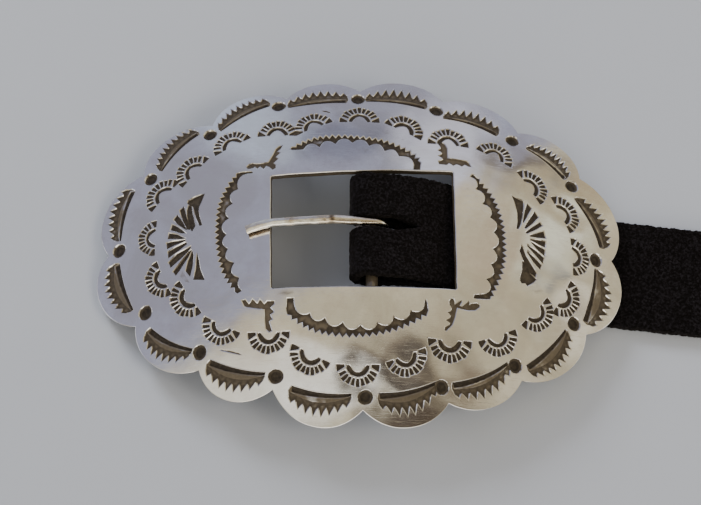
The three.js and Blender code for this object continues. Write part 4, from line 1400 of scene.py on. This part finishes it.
@dataclass(frozen=True)
class TongueSilver:
    """Hammered silver wire, a little warmer than the plate."""

    bright: tuple[float, float, float] = (0.84, 0.80, 0.71)
    warm: tuple[float, float, float] = (0.62, 0.52, 0.38)
    # Brown of the painted shade under the arm, and of the knob's top.
    brown_and_painted_shade: tuple[float, float, float] = (0.16, 0.11, 0.065)

    def material(self) -> bpy.types.Material:
        """Tone by noise; brown by the vertex value, as painted shade on the arm's underside and as a patch on the
        knob's top; hammer marks and drawn lines as bump.
        """
        f = Finish("hammered silver wire")
        cloud = f.noise(260.0, 4.0, 0.6, 0.4)
        blows = f.noise(700.0, 2.0, 0.5)
        lines = f.noise(1.0, 2.0, 0.5, 0.0, f.place((300.0, 8000.0, 8000.0)))
        colour = f.mix(cloud.eased(0.38, 0.66), self.bright, self.warm)
        colour = f.mix((f.value("dark") * (0.4 + cloud)).eased(0.1, 0.9), colour, self.brown_and_painted_shade)
        rough = 0.17 + cloud * 0.12 + lines * 0.06
        normal = f.bump(blows, 0.25, 0.0002)
        normal = f.bump(lines, 0.15, 0.00005, normal)
        return f.surface(f.shader({"Base Color": colour, "Metallic": 1.0, "Roughness": rough, "Normal": normal}))


@dataclass(frozen=True)
class BlackSuede:
    """Black suede with a dull brownish nap."""

    deep: tuple[float, float, float] = (0.0015, 0.0012, 0.0012)
    nap: tuple[float, float, float] = (0.0165, 0.0145, 0.0175)

    def material(self) -> bpy.types.Material:
        """Fibre speckle in the colour, rough tufts as bump, and a faint sheen."""
        f = Finish("black suede")
        fibre = f.noise(1900.0, 4.0, 0.7)
        tuft = f.noise(900.0, 3.0, 0.6, 0.5)
        rubbed = f.noise(110.0, 3.0, 0.5)
        colour = f.mix(fibre.eased(0.42, 0.72) * (0.35 + rubbed * 0.9), self.deep, self.nap)
        normal = f.bump(tuft, 0.8, 0.0003)
        normal = f.bump(fibre, 0.9, 0.00015, normal)
        return f.surface(f.shader({
            "Base Color": colour, "Roughness": 0.88 + tuft * 0.1, "Normal": normal, "Sheen Weight": 0.03,
            "Sheen Roughness": 0.6, "Specular IOR Level": 0.06, "Sheen Tint": (0.6, 0.5, 0.42, 1.0)}))


# Stage.


@dataclass(frozen=True)
class Camera:
    """The photograph's camera, in the table's frame: place in metres and its right, up and forward axes."""

    place: tuple[float, float, float] = (-0.03862, -0.18150, 0.42825)
    right: tuple[float, float, float] = (0.998031, 0.003591, 0.062618)
    up: tuple[float, float, float] = (-0.028283, 0.916860, 0.398206)
    forward: tuple[float, float, float] = (0.055982, 0.399193, -0.915156)
    focal_px: float = 2200.0
    centre_px: tuple[float, float] = (361.6, 242.6)
    image_px: tuple[int, int] = (701, 505)

    def build(self) -> bpy.types.Object:
        """A perspective camera whose lens and shift give the focal length and centre in pixels."""
        data = bpy.data.cameras.new("camera")
        data.sensor_width = 36.0
        data.lens = self.focal_px / self.image_px[0] * data.sensor_width
        data.shift_x = (self.image_px[0] / 2 - self.centre_px[0]) / self.image_px[0]
        data.shift_y = (self.centre_px[1] - self.image_px[1] / 2) / self.image_px[0]
        data.clip_start, data.clip_end = 0.01, 20.0
        obj = bpy.data.objects.new("camera", data)
        bpy.context.scene.collection.objects.link(obj)
        axes = np.stack([self.right, self.up, -np.asarray(self.forward)], axis=1)
        matrix = np.eye(4)
        matrix[:3, :3], matrix[:3, 3] = axes, self.place
        obj.matrix_world = Matrix(matrix.tolist())
        bpy.context.scene.camera = obj
        return obj


class Side(Enum):
    """Where a light stands."""

    LEFT = "left"
    RIGHT = "right"


@dataclass(frozen=True)
class SoftLight:
    """A large soft area light aimed at the plate's middle."""

    side: Side
    place: tuple[float, float, float]
    size: float
    power: float
    colour: tuple[float, float, float]

    def build(self) -> bpy.types.Object:
        """An area light whose -Z looks at the middle of the plate."""
        data = bpy.data.lights.new(f"light_{self.side.value}", "AREA")
        data.shape, data.size, data.energy, data.color = "DISK", self.size, self.power, self.colour
        obj = bpy.data.objects.new(data.name, data)
        bpy.context.scene.collection.objects.link(obj)
        back = unit(np.asarray(self.place) - np.array([-0.013, 0.0, 0.012]))
        right = unit(np.cross([0.0, 0.0, 1.0], back) if abs(back[2]) < 0.999 else np.array([1.0, 0.0, 0.0]))
        matrix = np.eye(4)
        matrix[:3, :3] = np.stack([right, np.cross(back, right), back], axis=1)
        matrix[:3, 3] = self.place
        obj.matrix_world = Matrix(matrix.tolist())
        return obj


@dataclass(frozen=True)
class Patch:
    """A soft patch of the surroundings: its middle and half sizes in a direction's x and y."""

    x: float
    y: float
    wide: float
    high: float
    colour: tuple[float, float, float]
    strength: float = 1.0


class Surroundings(Tree):
    """The world's node tree: a cool side and a warm side, with soft patches that the silver mirrors."""

    def __init__(self, cool: tuple[float, float, float], warm: tuple[float, float, float],
                 patches: Sequence[Patch], strength: float) -> None:
        """Builds the world.

        The sides meet where y less 0.8 x is 0.34; a patch fades over the sum of the squares of x and y
        from its middle in half sizes.

        Args:
            cool: colour of the side behind and to the left.
            warm: colour of the side in front and to the right.
            patches: patches, laid one over the other.
            strength: brightness of it all.
        """
        world = bpy.data.worlds.new("surroundings")
        bpy.context.scene.world = world
        super().__init__(world)
        ray = self.node("ShaderNodeTexCoord", {}, {}, "Generated")
        x = self.node("ShaderNodeSeparateXYZ", {}, {0: ray}, "X")
        y = Shade(self, x.socket.node.outputs["Y"])
        wobble = self.noise(2.6, 3.0, 0.6, 0.0, ray)
        side = (y - x * 0.8 + wobble * 0.22).eased(0.42, 0.48)
        mottle = self.noise(4.2, 4.0, 0.6, 0.5, ray)
        warm_side = self.mix(mottle.eased(0.40, 0.62), tuple(c * 0.72 for c in warm), warm)
        colour = self.mix(side, warm_side, cool)
        for patch in patches:
            u, v = (x - patch.x) * (1 / patch.wide), (y - patch.y) * (1 / patch.high)
            near = 1.0 - (u * u + v * v + wobble * 1.1).eased(0.95, 1.75)
            colour = self.mix(near * patch.strength, colour, patch.colour)
        background = self.node("ShaderNodeBackground", {}, {"Color": colour, "Strength": strength})
        self.node("ShaderNodeOutputWorld", {}, {"Surface": background}, None)


@dataclass(frozen=True)
class Studio:
    """Pale floor, soft surroundings and the lights."""

    floor: tuple[float, float, float] = (0.42, 0.445, 0.50)
    cool: tuple[float, float, float] = (0.405, 0.42, 0.55)
    warm: tuple[float, float, float] = (0.83, 0.742, 0.53)
    patches: tuple[Patch, ...] = (
        Patch(-0.05, 0.80, 0.25, 0.10, (0.235, 0.245, 0.34)),
        Patch(-0.32, 0.85, 0.14, 0.16, (0.66, 0.76, 0.96), 0.8),
        Patch(0.28, 0.76, 0.17, 0.20, (0.86, 0.90, 1.10)),
        Patch(0.68, 0.42, 0.10, 0.18, (1.02, 1.02, 0.84)),
        Patch(0.48, 0.36, 0.10, 0.20, (0.62, 0.50, 0.36), 0.7),
        Patch(-0.35, -0.38, 0.45, 0.24, (1.22, 1.20, 1.10)),
        Patch(0.52, 0.74, 0.12, 0.05, (0.22, 0.19, 0.17)),
        Patch(0.70, 0.66, 0.10, 0.12, (0.55, 0.45, 0.28), 0.8),
        Patch(0.72, 0.26, 0.06, 0.06, (0.24, 0.26, 0.30), 0.9),
        Patch(0.14, -0.19, 0.22, 0.07, (0.17, 0.13, 0.10), 0.9),
        Patch(0.18, -0.33, 0.25, 0.11, (0.085, 0.07, 0.06)),
        Patch(0.42, -0.33, 0.16, 0.08, (0.26, 0.20, 0.145), 0.9),
        Patch(0.10, -0.42, 0.12, 0.04, (1.0, 0.94, 0.78), 0.8),
        Patch(0.66, -0.30, 0.09, 0.12, (1.1, 1.02, 0.82), 0.8),
        Patch(0.80, 0.06, 0.045, 0.20, (1.25, 1.2, 1.02), 0.85),
        Patch(0.32, -0.58, 0.34, 0.15, (0.085, 0.062, 0.046)),
        Patch(0.0, -0.98, 0.9, 0.26, (2.6, 2.5, 2.3)),
        Patch(1.02, 0.0, 0.10, 0.6, (2.2, 2.1, 1.9)),
        Patch(-1.02, 0.1, 0.10, 0.6, (1.7, 1.75, 1.9)))
    strength: float = 1.0
    lights: tuple[SoftLight, ...] = (
        SoftLight(Side.LEFT, (-0.55, 0.78, 0.52), 0.45, 10.0, (0.94, 0.96, 1.0)),
        SoftLight(Side.RIGHT, (0.5, -0.3, 0.6), 0.4, 2.5, (1.0, 0.92, 0.8)))

    def build(self) -> None:
        """Floor, surroundings and lights."""
        size = 2.5
        mesh = bpy.data.meshes.new("floor")
        mesh.from_pydata([(-size, -size, 0.0), (size, -size, 0.0), (size, size, 0.0), (-size, size, 0.0)], [],
                         [(0, 1, 2, 3)])
        floor = bpy.data.objects.new("floor", mesh)
        floor.location.z = -0.0002
        bpy.context.scene.collection.objects.link(floor)
        f = Finish("pale floor")
        grain = f.noise(60.0, 4.0, 0.5)
        mesh.materials.append(f.surface(f.shader({
            "Base Color": f.mix(grain, self.floor, tuple(c * 0.97 for c in self.floor)), "Roughness": 0.9})))
        Surroundings(self.cool, self.warm, self.patches, self.strength)
        for light in self.lights:
            light.build().visible_glossy = False


def main() -> None:
    """Builds the stage and every piece in order, and reports each."""
    logging.basicConfig(level=logging.INFO, format="%(message)s")
    Camera().build()
    Studio().build()
    plate = BucklePlate()
    tongue = Tongue(plate)
    strap = SuedeStrap(plate, tongue)
    builders: tuple[tuple[str, str, str, Callable[[], bpy.types.Object]], ...] = (
        ("buckle_plate", "buckle", "plate_silver", plate.build),
        ("tongue", "tongue", "tongue_silver", tongue.build),
        ("strap", "buckle", "black_suede", strap.build))
    for node, body, material_slot, build in builders:
        piece = build()
        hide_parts(node)
        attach(piece, body)
        LOG.info("%s stands for %s: %d triangles", piece.name, node, len(piece.data.polygons))


if __name__ == "__main__":
    main()
